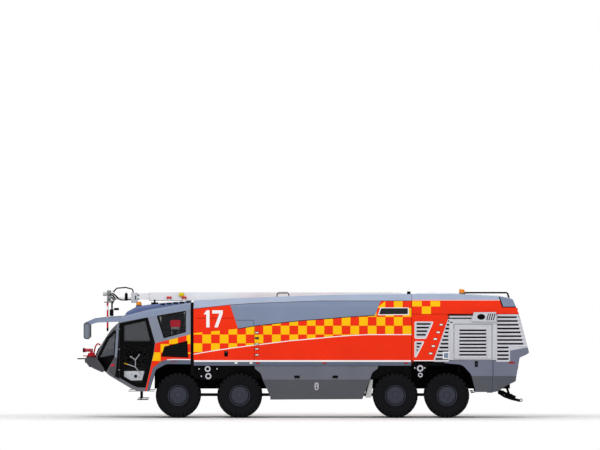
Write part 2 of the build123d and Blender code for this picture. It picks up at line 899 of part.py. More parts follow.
# Sills along both sides and the lips round the front arches
arch_lip_rows = (
    (-4700, 811, 0),
    (-4490, 1480, 150),
    (-4170, 1650, 300),
    (cab_rear, 1645, 0),
    (cab_rear, sill_top, 0),
    (-4200, 1768, 300),
    (-4580, 1540, 150),
    (-4770, 813, 0),
)
lip_proud = 12
flap_hinge_spot = (half_width + lip_proud, 1588)
flap_hinge_radius = 8
flap_hinge_pin = 4
flap_hinge_starts = (-800, 380, 1500)
with BuildPart() as sills:
    for side in (-1, 1):
        with BuildSketch(Plane.XY.offset(sill_bottom)):
            with Locations(((body_front + body_rear) / 2, side * (sill_inner + half_width + lip_proud) / 2)):
                Rectangle(body_rear - body_front - 2 * panel_gap, half_width + lip_proud - sill_inner)
        extrude(amount=sill_top - sill_bottom)
    for shape in both_sides(left_plate(arch_lip_rows, half_width, half_width + lip_proud)):
        add(shape)
    for start in flap_hinge_starts:
        for side in (-1, 1):
            with BuildSketch(Plane.YZ.offset(start)):
                with Locations((side * flap_hinge_spot[0], flap_hinge_spot[1])):
                    RegularPolygon(flap_hinge_radius, barrel_sides)
                with Locations((side * (flap_hinge_spot[0] - 4), flap_hinge_spot[1] + 7)):
                    Rectangle(8, 14)
                with Locations((side * flap_hinge_spot[0], flap_hinge_spot[1])):
                    pin_hole(flap_hinge_pin, barrel_sides)
            extrude(amount=hinge_height)
save(sills, "sills")

# Wheel housings: the cowl under the cab, the floor over the rear wheels with their arches,
# the coupling panels between the wheels and the mud flaps behind the lockers
coupling_panels = (
    ((-3250, sill_bottom, 0), (-2564, sill_bottom, 0), (-2695, 1162, 30), (-3103, 1162, 30)),
    ((3372, sill_bottom, 0), (3835, sill_bottom, 0), (3588, 1147, 30)),
)
coupling_spots = ((-2908, 1498, 88), (-2887, 1278, 92), (3583, 1516, 98), (3589, 1312, 70))
panel_inner = half_width - 100
panel_outer = half_width - 60
ring_proud = 45
cowl_top = 1745
spine_rear = 4600
liner_outer = half_width - 72
rear_liner_rows = (
    (4280, 1660, 0),
    (4855, 1618, 280),
    (5120, 1333, 280),
    (5262, 760, 0),
    (5276, 793, 0),
    (5139, 1339, 299),
    (4869, 1629, 299),
    (4280, 1680, 0),
)
mud_flap_rows = (
    (2051, sill_bottom, 0),
    (2137, sill_bottom, 0),
    (2137, 1165, 0),
    (2088, 619, 0),
    (1908, 619, 0),
)
mud_flap_width = 90
with BuildPart() as wheel_housings:
    with BuildSketch(Plane.XY.offset(rail_top)):
        with Locations(((rail_front + body_front - panel_gap) / 2, 0)):
            Rectangle(body_front - panel_gap - rail_front, 2 * spine_half)
    extrude(amount=cowl_top - rail_top)
    add(cab_outer, mode=Mode.SUBTRACT)
    with BuildSketch(Plane.XY.offset(rail_top)):
        with Locations(((body_rear + spine_rear) / 2, 0)):
            Rectangle(spine_rear - body_rear, 2 * spine_half)
    extrude(amount=sill_bottom - rail_top)
    with BuildSketch(Plane.XY.offset(sill_bottom)):
        with Locations(((module_front + rear_arch_front) / 2, 0)):
            Rectangle(rear_arch_front - module_front, 2 * panel_outer)
    extrude(amount=module_bottom - sill_bottom)
    for shape in both_sides(left_plate(rear_liner_rows, spine_half, liner_outer)):
        add(shape)
    for rows in coupling_panels:
        for shape in both_sides(left_plate(rows, panel_inner, panel_outer)):
            add(shape)
    for shape in both_sides(left_plate(mud_flap_rows, locker_mouth - mud_flap_width, locker_mouth)):
        add(shape)
    for side in (-1, 1):
        for ring_x, ring_z, ring_radius in coupling_spots:
            with BuildSketch(Plane.XZ.offset(-side * panel_outer)):
                with Locations((ring_x, ring_z)):
                    RegularPolygon(radius=ring_radius, side_count=12)
                    RegularPolygon(radius=ring_radius * 0.62, side_count=12, mode=Mode.SUBTRACT)
            extrude(amount=-side * ring_proud)
save(wheel_housings, "wheel_housings")

# Lockers between the middle wheels: an open box on each side behind its flap
locker_wall = 20
locker_middle = ((locker_front + locker_rear) / 2, (locker_bottom + sill_bottom) / 2)
locker_length = locker_rear - locker_front
locker_height = sill_bottom - locker_bottom
with BuildPart() as lockers:
    for side in (-1, 1):
        with BuildSketch(Plane.XZ.offset(-side * spine_half)):
            with Locations(locker_middle):
                Rectangle(locker_length, locker_height)
        extrude(amount=-side * (locker_mouth - spine_half))
        with BuildSketch(Plane.XZ.offset(-side * (spine_half + locker_wall))):
            with Locations(locker_middle):
                Rectangle(locker_length - 2 * locker_wall, locker_height - 2 * locker_wall)
        extrude(amount=-side * locker_mouth, mode=Mode.SUBTRACT)
save(lockers, "lockers")

for side, side_name in ((-1, "left"), (1, "right")):
    with BuildPart() as locker_flap:
        add(left_plate(skirt_rows, half_width - flap_thickness, half_width))
        for start in flap_hinge_starts:
            with BuildSketch(Plane.YZ.offset(start - hinge_height)):
                with Locations((-flap_hinge_spot[0], flap_hinge_spot[1])):
                    Circle(flap_hinge_pin)
            extrude(amount=3 * hinge_height)
            for knuckle_start in (start - hinge_height, start + hinge_height + 1):
                with BuildSketch(Plane.YZ.offset(knuckle_start)):
                    with Locations((-flap_hinge_spot[0], flap_hinge_spot[1])):
                        RegularPolygon(flap_hinge_radius, barrel_sides)
                    with Locations((-flap_hinge_spot[0] + 7, flap_hinge_spot[1] - 8)):
                        Rectangle(12, 16)
                extrude(amount=hinge_height - 1)
        if side > 0:
            mirror(about=Plane.XZ, mode=Mode.REPLACE)
    save(locker_flap, f"locker_flap_{side_name}")

# Engine module: a hollow shell with openings for its grilles, doors and louvred windows
rear_beacon_offset = half_width - 600
rear_beacon_spots = ((4875, -rear_beacon_offset), (4875, rear_beacon_offset))
rear_beacon_seat = 3792
cavity_half = half_width - 70
tail_slot_half = half_width - 560
tail_slot_rows = (2720, 2830, 2940, 3050)
tail_slot_height = 50
tail_slot_start = 6350
module_end = 6950
with BuildPart() as engine_module:
    add(section_block(module_front, module_end))
    extrude(side_sketch(module_rows), amount=half_width + cut_over, both=True, mode=Mode.INTERSECT)
    extrude(side_sketch(module_cavity_rows), amount=cavity_half, both=True, mode=Mode.SUBTRACT)
    for rows in (side_grille_rows, upper_window_rows, lower_window_rows):
        for shape in both_sides(left_plate(rows, cavity_half - cut_over, half_width + cut_over)):
            add(shape, mode=Mode.SUBTRACT)
    with BuildSketch(Plane.YZ.offset(tail_slot_start)):
        for height in tail_slot_rows:
            for side in (-1, 1):
                with Locations((side * tail_slot_half / 2, height)):
                    Rectangle(tail_slot_half - body_wall, tail_slot_height)
    extrude(amount=module_end - tail_slot_start, mode=Mode.SUBTRACT)
    with BuildSketch(Plane.XY.offset(rear_beacon_seat - 60)):
        with Locations(*rear_beacon_spots):
            RegularPolygon(radius=beacon_pad_radius, side_count=12)
    extrude(amount=60)
save(engine_module, "engine_module")

# Side grilles: the silver panels with their slots, the louvred windows and the exhaust housings
slot_height = 52
slot_pitch = 116
first_slot = 3078
slot_count = 12
bank_margin = 45
front_bank_end = 4444
rear_bank_start = 5935
rear_bank_low_end = 6285
shortest_slot = 60
window_slot_start = 3475
upper_window_slots = (2870, 2760, 2650, 2540)
lower_window_slots = (2270, 2170, 2070)
grille_thickness = 60
exhaust_rows = ((5220, 3232, 0), (5903, 3235, 0), (5896, 2940, 0), (5144, 2958, 0))
exhaust_spot = (5449, 3090)
exhaust_proud = 90
exhaust_radius = 90
grille_cut_inner = half_width - 100


def slanted_x(low, high, z):
    """X at height z on the line between two of an outline's rows."""
    return low[0] + (high[0] - low[0]) * (z - low[1]) / (high[1] - low[1])


def slot_rows():
    """The slots of the two banks and the louvred windows: first x, last x, height."""
    rows = []
    for number in range(slot_count):
        z = first_slot - number * slot_pitch
        start = slanted_x(side_grille_rows[5], side_grille_rows[0], z) + bank_margin
        if front_bank_end - start > shortest_slot:
            rows.append((start, front_bank_end, z))
        end = rear_bank_low_end
        if z - slot_height / 2 > side_grille_rows[2][1]:
            end = slanted_x(side_grille_rows[2], side_grille_rows[1], z) - bank_margin
        rows.append((rear_bank_start, end, z))
    louvres = ((upper_window_slots, upper_window_rows), (lower_window_slots, lower_window_rows))
    for heights, outline in louvres:
        for z in heights:
            rows.append((window_slot_start, slanted_x(outline[2], outline[1], z) - bank_margin, z))
    return rows


with BuildPart() as left_grille:
    for rows in (side_grille_rows, upper_window_rows, lower_window_rows):
        add(left_plate(rows, half_width - grille_thickness, half_width))
    add(left_plate(exhaust_rows, half_width, half_width + exhaust_proud))
    add(left_plate(engine_door_rows, grille_cut_inner, half_width + cut_over), mode=Mode.SUBTRACT)
    with BuildSketch(Plane.XZ.offset(grille_cut_inner)):
        for start, end, z in slot_rows():
            with Locations(((start + end) / 2, z)):
                Rectangle(end - start, slot_height)
    extrude(amount=half_width + cut_over - grille_cut_inner, mode=Mode.SUBTRACT)
    with BuildSketch(Plane.XZ.offset(grille_cut_inner)):
        with Locations(exhaust_spot):
            RegularPolygon(radius=exhaust_radius, side_count=16)
    extrude(amount=half_width + exhaust_proud + cut_over - grille_cut_inner, mode=Mode.SUBTRACT)
engine_hinge_spot = (4608, -half_width - hinge_proud)
engine_hinge_heights = (1900, 2640)
engine_barrels, engine_knuckles = upright_hinge(engine_hinge_spot, engine_hinge_heights, hinge_reach)
with BuildPart() as side_grilles:
    add(left_grille.part)
    for barrels in both_sides(engine_barrels - left_grille.part):
        add(barrels)
    add(mirror(left_grille.part, about=Plane.XZ, mode=Mode.PRIVATE))
save(side_grilles, "side_grilles")

# Engine doors with their own louvres
engine_door_thickness = 45
door_slot_pitch = 107
door_slot_count = 8
door_slot_size = (820, 50)
door_slot_middle = 5191
first_door_slot = 2677
for side, side_name in ((-1, "left"), (1, "right")):
    with BuildPart() as engine_door:
        with BuildSketch(Plane.XZ.offset(half_width - engine_door_thickness)):
            with BuildLine():
                Polyline(*[(x, z) for x, z, _ in engine_door_rows], close=True)
            make_face()
            offset(amount=-panel_gap, kind=Kind.INTERSECTION)
            for number in range(door_slot_count):
                with Locations((door_slot_middle, first_door_slot - number * door_slot_pitch)):
                    Rectangle(*door_slot_size, mode=Mode.SUBTRACT)
        extrude(amount=engine_door_thickness)
        add(engine_knuckles)
        if side > 0:
            mirror(about=Plane.XZ, mode=Mode.REPLACE)
    save(engine_door, f"engine_door_{side_name}")

# Rear lower body round the last axle, open along the middle, with pockets for the tail lamps
tail_lamp_offset = half_width - 320
tail_lamp_spots = tuple((side * tail_lamp_offset, 1560) for side in (-1, 1))
tail_lamp_size = (300, 130)
tail_lamp_front = 6480
tail_lamp_depth = 110
rear_cavity_front = 4200
rear_cavity_rear = 6345
rear_cavity_bottom = 600
rear_cavity_top = 1780
with BuildPart() as rear_lower:
    extrude(side_sketch(rear_lower_rows), amount=half_width, both=True)
    with BuildSketch(Plane.XY.offset(rear_cavity_bottom)):
        with Locations(((rear_cavity_front + rear_cavity_rear) / 2, 0)):
            Rectangle(rear_cavity_rear - rear_cavity_front, 2 * cavity_half)
    extrude(amount=rear_cavity_top - rear_cavity_bottom, mode=Mode.SUBTRACT)
    with BuildSketch(Plane.YZ.offset(tail_lamp_front)):
        with Locations(*tail_lamp_spots):
            Rectangle(*tail_lamp_size)
    extrude(amount=module_end - tail_lamp_front, mode=Mode.SUBTRACT)
save(rear_lower, "rear_lower")

# Engine and gearbox: one plain block on the frame rails
engine_front = 4650
engine_rear = 6050
engine_half = 480
engine_height = 1150
with BuildPart() as engine_block:
    with BuildSketch(Plane.XY.offset(rail_top)):
        with Locations(((engine_front + engine_rear) / 2, 0)):
            Rectangle(engine_rear - engine_front, 2 * engine_half)
    extrude(amount=engine_height)
save(engine_block, "engine_block")

# Lamps: headlamps, beacons and tail lamps
beacon_radius = 72
front_beacon_height = 113
rear_beacon_height = 133
beacon_taper = 8
with BuildPart() as lamps:
    with BuildSketch(Plane.YZ.offset(headlamp_front)):
        with Locations(*headlamp_spots):
            RegularPolygon(radius=headlamp_radius - pin_clearance, side_count=16)
    extrude(amount=headlamp_back - headlamp_front)
    with BuildSketch(Plane.XY.offset(front_beacon_seat)):
        with Locations(*front_beacon_spots):
            RegularPolygon(radius=beacon_radius, side_count=12)
    extrude(amount=front_beacon_height, taper=beacon_taper)
    with BuildSketch(Plane.XY.offset(rear_beacon_seat)):
        with Locations(*rear_beacon_spots):
            RegularPolygon(radius=beacon_radius, side_count=12)
    extrude(amount=rear_beacon_height, taper=beacon_taper)
    with BuildSketch(Plane.YZ.offset(tail_lamp_front)):
        with Locations(*tail_lamp_spots):
            Rectangle(*[length - 2 * pin_clearance for length in tail_lamp_size])
    extrude(amount=tail_lamp_depth)
save(lamps, "lamps")

# Roof fittings: the rails over the engine, a hatch handle, an antenna and a camera dome
rail_tube = 15
roof_rail_offset = half_width - 450
dome_foot = (3240, -half_width + 600, 3700)
dome_radius = 68
dome_height = 160
antenna_foot = (-4535, -500, 3400)
antenna_size = (220, 160, 122)
antenna_knob_radius = 27
antenna_knob_height = 80
# Points along each rail, x and z, and the radius of its bends
roof_rails = (
    (((4945, 3760), (4945, 3812), (6271, 3812), (6316, 3640)), 30),
    (((-806, 3680), (-770, 3812), (-446, 3812), (-410, 3690)), 40),
)
with BuildPart() as roof_fittings:
    for side in (-1, 1):
        for points, bend in roof_rails:
            with BuildLine() as rail_path:
                FilletPolyline(*[(x, side * roof_rail_offset, z) for x, z in points], radius=bend)
            with BuildSketch(Plane(origin=rail_path.line @ 0, z_dir=rail_path.line % 0)):
                RegularPolygon(radius=rail_tube, side_count=8)
            sweep(path=rail_path.line)
    with BuildSketch(Plane.XY.offset(dome_foot[2])):
        with Locations(dome_foot[:2]):
            RegularPolygon(radius=dome_radius, side_count=12)
    extrude(amount=dome_height, taper=6)
    with BuildSketch(Plane.XY.offset(antenna_foot[2])):
        with Locations(antenna_foot[:2]):
            Rectangle(*antenna_size[:2])
    extrude(amount=antenna_size[2])
    with BuildSketch(Plane.XY.offset(antenna_foot[2] + antenna_size[2])):
        with Locations(antenna_foot[:2]):
            RegularPolygon(radius=antenna_knob_radius, side_count=8)
    extrude(amount=antenna_knob_height)
    add(roof_cap.part, mode=Mode.SUBTRACT)
    add(engine_module.part, mode=Mode.SUBTRACT)
    add(cab_roof.part, mode=Mode.SUBTRACT)
save(roof_fittings, "roof_fittings")

# Boom base: the turntable in the trough, the ears of the lift pivot and those of the two lift cylinders
boom_pivot = (2900, 3730)
boom_half = 150
boom_bottom = 3575
boom_top = 3825
ear_gap = 6
ear_thickness = 40
ear_width = 220
ear_radius = 90
turntable_radius = 330
base_plate = (2130, 2700)
base_plate_half = 310
base_thickness = 32
pivot_radius = 35
lift_eye_spot = (2250, 3560)
lift_side = 250
lift_eye_half = 25
lift_pin_radius = 20
lift_ear_width = 90
lift_ear_thickness = 20
lift_ear_inner = lift_side - lift_eye_half - 25
lift_ear_outer = lift_side + lift_eye_half + 3
with BuildPart() as boom_base:
    with BuildSketch(Plane.XY.offset(trough_floor)):
        with Locations((boom_pivot[0], 0)):
            RegularPolygon(radius=turntable_radius, side_count=20)
        with Locations(((base_plate[0] + base_plate[1]) / 2, 0)):
            Rectangle(base_plate[1] - base_plate[0], 2 * base_plate_half)
    extrude(amount=base_thickness)
    for side in (-1, 1):
        with BuildSketch(Plane.XZ.offset(-side * (boom_half + ear_gap))):
            with Locations((boom_pivot[0], (trough_floor + boom_pivot[1]) / 2)):
                Rectangle(ear_width, boom_pivot[1] - trough_floor)
            with Locations(boom_pivot):
                RegularPolygon(radius=ear_radius, side_count=12)
        extrude(amount=-side * ear_thickness)
        for inner in (lift_ear_inner, lift_ear_outer):
            with BuildSketch(Plane.XZ.offset(-side * inner)):
                with Locations((lift_eye_spot[0], (trough_floor + lift_eye_spot[1]) / 2)):
                    Rectangle(lift_ear_width, lift_eye_spot[1] - trough_floor)
                with Locations(lift_eye_spot):
                    RegularPolygon(radius=lift_ear_width / 2, side_count=12)
            extrude(amount=-side * lift_ear_thickness)
        with BuildSketch(Plane.XZ.offset(-side * lift_ear_inner)):
            with Locations(lift_eye_spot):
                Circle(lift_pin_radius)
        extrude(amount=-side * (lift_ear_outer + lift_ear_thickness - lift_ear_inner))
    with BuildSketch(Plane.XZ.offset(-boom_half - ear_gap - ear_thickness)):
        with Locations(boom_pivot):
            Circle(pivot_radius)
    extrude(amount=2 * (boom_half + ear_gap + ear_thickness))
save(boom_base, "boom_base")

# Lift cylinders: the barrels swing on the base and the rods slide in them; each rod's eye
# lies beside the boom's lug
lug_spot = (1350, 3640)
lift_length = hypot(lug_spot[0] - lift_eye_spot[0], lug_spot[1] - lift_eye_spot[1])
lift_plane = Plane(
    origin=(lift_eye_spot[0], 0, lift_eye_spot[1]),
    x_dir=(0, 1, 0),
    z_dir=(lug_spot[0] - lift_eye_spot[0], 0, lug_spot[1] - lift_eye_spot[1]),
)
barrel_radius = 40
lift_eye_reach = 62
lift_eye_radius = 44
barrel_end = 800
bore_start = 90
rod_radius = 24
rod_start = 110
rod_eye_radius = 42
rod_eye_half = 18
rod_eye_root = 30
with BuildPart() as lift_barrels:
    for side in (-1, 1):
        with BuildSketch(lift_plane.offset(lift_eye_reach)):
            with Locations((side * lift_side, 0)):
                Circle(barrel_radius)
        extrude(amount=barrel_end - lift_eye_reach)
        with BuildSketch(Plane.XZ.offset(-side * (lift_side - lift_eye_half))):
            with Locations(lift_eye_spot):
                RegularPolygon(radius=lift_eye_radius, side_count=12)
            with Locations((lift_eye_spot[0] - 40, lift_eye_spot[1] + 3)):
                Rectangle(70, lift_eye_radius)
        extrude(amount=-side * 2 * lift_eye_half)
        with BuildSketch(Plane.XZ.offset(-side * (lift_side - lift_eye_half))):
            with Locations(lift_eye_spot):
                Circle(lift_pin_radius + pin_clearance)
        extrude(amount=-side * 2 * lift_eye_half, mode=Mode.SUBTRACT)
        with BuildSketch(lift_plane.offset(bore_start)):
            with Locations((side * lift_side, 0)):
                Circle(rod_radius + pin_clearance)
        extrude(amount=barrel_end, mode=Mode.SUBTRACT)
save(lift_barrels, "lift_barrels")

with BuildPart() as lift_rods:
    for side in (-1, 1):
        with BuildSketch(lift_plane.offset(rod_start)):
            with Locations((side * lift_side, 0)):
                Circle(rod_radius)
        extrude(amount=lift_length - rod_start - rod_eye_root)
        with BuildSketch(Plane.XZ.offset(-side * (lift_side - rod_eye_half))):
            with Locations(lug_spot):
                RegularPolygon(radius=rod_eye_radius, side_count=12)
        extrude(amount=-side * 2 * rod_eye_half)
save(lift_rods, "lift_rods")

# Boom: the outer section with its lugs, and the inner section that slides out of it
outer_front = -4700
outer_rear = boom_pivot[0] + 100
inner_front = -5060
inner_rear = -600
inner_half = 130
inner_bottom = 3600
inner_top = 3800
slide_gap = 6
mouth_depth = 120
outer_end_wall = 400
shoe_length = 100
shoe_gap = slide_gap - pin_clearance
boom_lug_radius = 50
with BuildPart() as boom_outer:
    with BuildSketch(Plane.YZ.offset(outer_front)):
        with Locations((0, (boom_bottom + boom_top) / 2)):
            Rectangle(2 * boom_half, boom_top - boom_bottom)
    extrude(amount=outer_rear - outer_front)
    with BuildSketch(Plane.YZ.offset(outer_front)):
        with Locations((0, (inner_bottom + inner_top) / 2)):
            Rectangle(2 * inner_half + 2 * pin_clearance, inner_top - inner_bottom + 2 * pin_clearance)
    extrude(amount=mouth_depth, mode=Mode.SUBTRACT)
    with BuildSketch(Plane.YZ.offset(outer_front + mouth_depth)):
        with Locations((0, (inner_bottom + inner_top) / 2)):
            Rectangle(2 * inner_half + 2 * slide_gap, inner_top - inner_bottom + 2 * slide_gap)
    extrude(amount=outer_rear - outer_end_wall - outer_front, mode=Mode.SUBTRACT)
    with BuildSketch(Plane.XZ.offset(-boom_half)):
        with Locations(boom_pivot):
            Circle(pivot_radius + pin_clearance)
    extrude(amount=2 * boom_half, mode=Mode.SUBTRACT)
    for side in (-1, 1):
        with BuildSketch(Plane.XZ.offset(-side * boom_half)):
            with Locations(lug_spot):
                RegularPolygon(radius=boom_lug_radius, side_count=12)
        extrude(amount=-side * (lift_side - rod_radius - 2 - boom_half))
save(boom_outer, "boom_outer")

with BuildPart() as boom_inner:
    with BuildSketch(Plane.YZ.offset(inner_front)):
        with Locations((0, (inner_bottom + inner_top) / 2)):
            Rectangle(2 * inner_half, inner_top - inner_bottom)
    extrude(amount=inner_rear - inner_front)
    with BuildSketch(Plane.YZ.offset(inner_rear - shoe_length)):
        with Locations((0, (inner_bottom + inner_top) / 2)):
            Rectangle(2 * (inner_half + shoe_gap), inner_top - inner_bottom + 2 * shoe_gap)
    extrude(amount=shoe_length)
save(boom_inner, "boom_inner")

# Boom head: the tip block, the two arms, the pillar for the hoses and the lamp arm behind the lance
head_rear = inner_front
head_front = -5262
head_bottom = 3500
head_top = 3812
arm_inner = 70
arm_outer = 95
arm_bottom = 3600
arm_top = 3680
cross_front = -5935
cross_rear = -5780
cross_bottom = 3570
nozzle_pivot = (-5900, 3770)
nozzle_pin_radius = 18
nozzle_ear_inner = 60
nozzle_ear_outer = 82
lance_pivot = (-5985, 3540)
lance_pin_radius = 14
lance_ear_inner = 33
lance_ear_outer = 52
post_x = -5795
post_radius = 30
post_top = 3850
lamp_strut = (-5850, 3300)
lamp_strut_radius = 22
lamp_box = (-5862, 3096)
lamp_box_size = (120, 110, 210)
with BuildPart() as boom_head:
    with BuildSketch(Plane.XZ.offset(-boom_half)):
        with Locations(((head_front + head_rear) / 2, (head_bottom + head_top) / 2)):
            Rectangle(head_rear - head_front, head_top - head_bottom)
    extrude(amount=2 * boom_half)
    for side in (-1, 1):
        with BuildSketch(Plane.XZ.offset(-side * arm_inner)):
            with Locations(((head_front + cross_rear) / 2, (arm_bottom + arm_top) / 2)):
                Rectangle(head_front - cross_rear, arm_top - arm_bottom)
        extrude(amount=-side * (arm_outer - arm_inner))
        with BuildSketch(Plane.XZ.offset(-side * nozzle_ear_inner)):
            with Locations((nozzle_pivot[0], (arm_top + nozzle_pivot[1]) / 2)):
                Rectangle(60, nozzle_pivot[1] - arm_top + 2)
            with Locations(nozzle_pivot):
                RegularPolygon(radius=34, side_count=12)
                Circle(nozzle_pin_radius + pin_clearance, mode=Mode.SUBTRACT)
        extrude(amount=-side * (nozzle_ear_outer - nozzle_ear_inner))
        with BuildSketch(Plane.XZ.offset(-side * lance_ear_inner)):
            with Locations(((cross_front + lance_pivot[0]) / 2, lance_pivot[1] + 10)):
                Rectangle(cross_front - lance_pivot[0] + 4, 60)
            with Locations((cross_front + 15, lance_pivot[1] + 40)):
                Rectangle(30, 120)
            with Locations(lance_pivot):
                RegularPolygon(radius=30, side_count=12)
                Circle(lance_pin_radius + pin_clearance, mode=Mode.SUBTRACT)
        extrude(amount=-side * (lance_ear_outer - lance_ear_inner))
    with BuildSketch(Plane.XZ.offset(-arm_outer)):
        with Locations(((cross_front + cross_rear) / 2, (cross_bottom + arm_top) / 2)):
            Rectangle(cross_rear - cross_front, arm_top - cross_bottom)
    extrude(amount=2 * arm_outer)
    with BuildSketch(Plane.XY.offset(cross_bottom)):
        with Locations((post_x, 0)):
            RegularPolygon(radius=post_radius, side_count=10)
    extrude(amount=post_top - cross_bottom)
    with BuildSketch(Plane.XY.offset(lamp_strut[1])):
        with Locations((lamp_strut[0], 0)):
            RegularPolygon(radius=lamp_strut_radius, side_count=8)
    extrude(amount=cross_bottom + post_radius - lamp_strut[1])
    with BuildSketch(Plane.XY.offset(lamp_box[1])):
        with Locations((lamp_box[0], 0)):
            Rectangle(*lamp_box_size[:2])
    extrude(amount=lamp_box_size[2])
save(boom_head, "boom_head")

nozzle_rear = nozzle_pivot[0] + 45
nozzle_length = 200
nozzle_radius = 50
nozzle_collar_radius = 62
nozzle_collar_length = 70
with BuildPart() as boom_nozzle:
    with BuildSketch(Plane.YZ.offset(nozzle_rear)):
        with Locations((0, nozzle_pivot[1])):
            RegularPolygon(radius=nozzle_radius, side_count=12)
    extrude(amount=-nozzle_length)
    with BuildSketch(Plane.YZ.offset(nozzle_rear - nozzle_length)):
        with Locations((0, nozzle_pivot[1])):
            RegularPolygon(radius=nozzle_collar_radius, side_count=12)
    extrude(amount=-nozzle_collar_length)
    with BuildSketch(Plane.XZ.offset(-nozzle_ear_outer)):
        with Locations(nozzle_pivot):
            Circle(nozzle_pin_radius)
    extrude(amount=2 * nozzle_ear_outer)
save(boom_nozzle, "boom_nozzle")

lance_radius = 28
lance_tip = 2640
lance_cone = 90
lance_eye_radius = 29
lance_eye_half = lance_ear_inner - 3
with BuildPart() as lance:
    with BuildSketch(Plane.XY.offset(lance_tip + lance_cone)):
        with Locations((lance_pivot[0], 0)):
            RegularPolygon(radius=lance_radius, side_count=10)
    extrude(amount=lance_pivot[1] - lance_tip - lance_cone)
    with BuildSketch(Plane.XY.offset(lance_tip + lance_cone)):
        with Locations((lance_pivot[0], 0)):
            RegularPolygon(radius=lance_radius, side_count=10)
    extrude(amount=-lance_cone, taper=16)
    with BuildSketch(Plane.XZ.offset(-lance_eye_half)):
        with Locations(lance_pivot):
            RegularPolygon(radius=lance_eye_radius, side_count=12)
    extrude(amount=2 * lance_eye_half)
    with BuildSketch(Plane.XZ.offset(-lance_ear_outer)):
        with Locations(lance_pivot):
            Circle(lance_pin_radius)
    extrude(amount=2 * lance_ear_outer)
save(lance, "lance")

# Hoses from the tip block to the pillar
hose_radius = 20
hose_routes = (
    (((-5200, head_top), (-5215, 3920), (-5433, 3972), (-5702, 3950), (post_x, post_top)), (70, 180, 60)),
    (((head_front, 3640), (-5420, 3600), (-5640, 3625), (post_x + 25, 3760)), (150, 150)),
)
with BuildPart() as boom_hoses:
    for points, bends in hose_routes:
        with BuildLine() as hose_path:
            FilletPolyline(*[(x, 0, z) for x, z in points], radius=bends)
        with BuildSketch(Plane(origin=hose_path.line @ 0, z_dir=hose_path.line % 0)):
            RegularPolygon(radius=hose_radius, side_count=8)
        sweep(path=hose_path.line)
    add(boom_head.part, mode=Mode.SUBTRACT)
save(boom_hoses, "boom_hoses")
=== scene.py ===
import math

import bmesh
import bpy
from mathutils import Matrix, Vector


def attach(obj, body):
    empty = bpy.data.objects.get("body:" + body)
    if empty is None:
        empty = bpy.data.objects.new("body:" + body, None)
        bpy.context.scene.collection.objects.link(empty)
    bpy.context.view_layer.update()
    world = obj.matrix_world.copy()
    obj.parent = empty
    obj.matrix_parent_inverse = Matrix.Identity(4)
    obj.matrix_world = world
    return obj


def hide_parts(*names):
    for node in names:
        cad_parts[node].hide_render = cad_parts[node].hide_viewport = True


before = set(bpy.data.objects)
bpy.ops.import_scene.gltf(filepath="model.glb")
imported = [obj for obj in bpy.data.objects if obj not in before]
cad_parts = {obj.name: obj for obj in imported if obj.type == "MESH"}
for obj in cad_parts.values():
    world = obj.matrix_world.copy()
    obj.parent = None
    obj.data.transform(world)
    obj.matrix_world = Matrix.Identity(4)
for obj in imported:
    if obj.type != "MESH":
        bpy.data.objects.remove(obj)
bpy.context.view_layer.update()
collection = bpy.context.scene.collection

# Camera: level and square on to the left side, as far off as a very long lens puts it.
# Lens and distance grow together, so the truck keeps its size in the picture.
lens = 800.0
distance_per_lens = 0.509
near_side = -1.5
middle_x, eye_height = -0.087, 8.0
camera_data = bpy.data.cameras.new("camera")
camera_data.lens = lens
camera_data.sensor_width = 36.0
camera_data.shift_y = -0.1149
camera_data.clip_end = 600.0
camera = bpy.data.objects.new("camera", camera_data)
camera.location = (middle_x, near_side - distance_per_lens * lens, eye_height)
camera.rotation_euler = (math.radians(90), 0, 0)
collection.objects.link(camera)
bpy.context.scene.camera = camera
bpy.context.scene.view_settings.view_transform = "Standard"


# Studio: a pale matt floor that takes the shadow and fades out into white, soft light from above,
# in front and behind, and a white background that only the camera sees.
def srgb(code):
    """A linear colour from a hex code."""
    parts = [int(code[i:i + 2], 16) / 255 for i in (1, 3, 5)]
    return [c / 12.92 if c <= 0.04045 else ((c + 0.055) / 1.055) ** 2.4 for c in parts] + [1.0]


def add_node(holder, kind, inputs, **settings):
    """A node with its settings, and its inputs set to a value or linked to another node's output."""
    made = holder.node_tree.nodes.new("ShaderNode" + kind)
    for key, value in settings.items():
        setattr(made, key, value)
    for key, value in inputs.items():
        if isinstance(value, bpy.types.NodeSocket):
            holder.node_tree.links.new(value, made.inputs[key])
        else:
            made.inputs[key].default_value = value
    return made


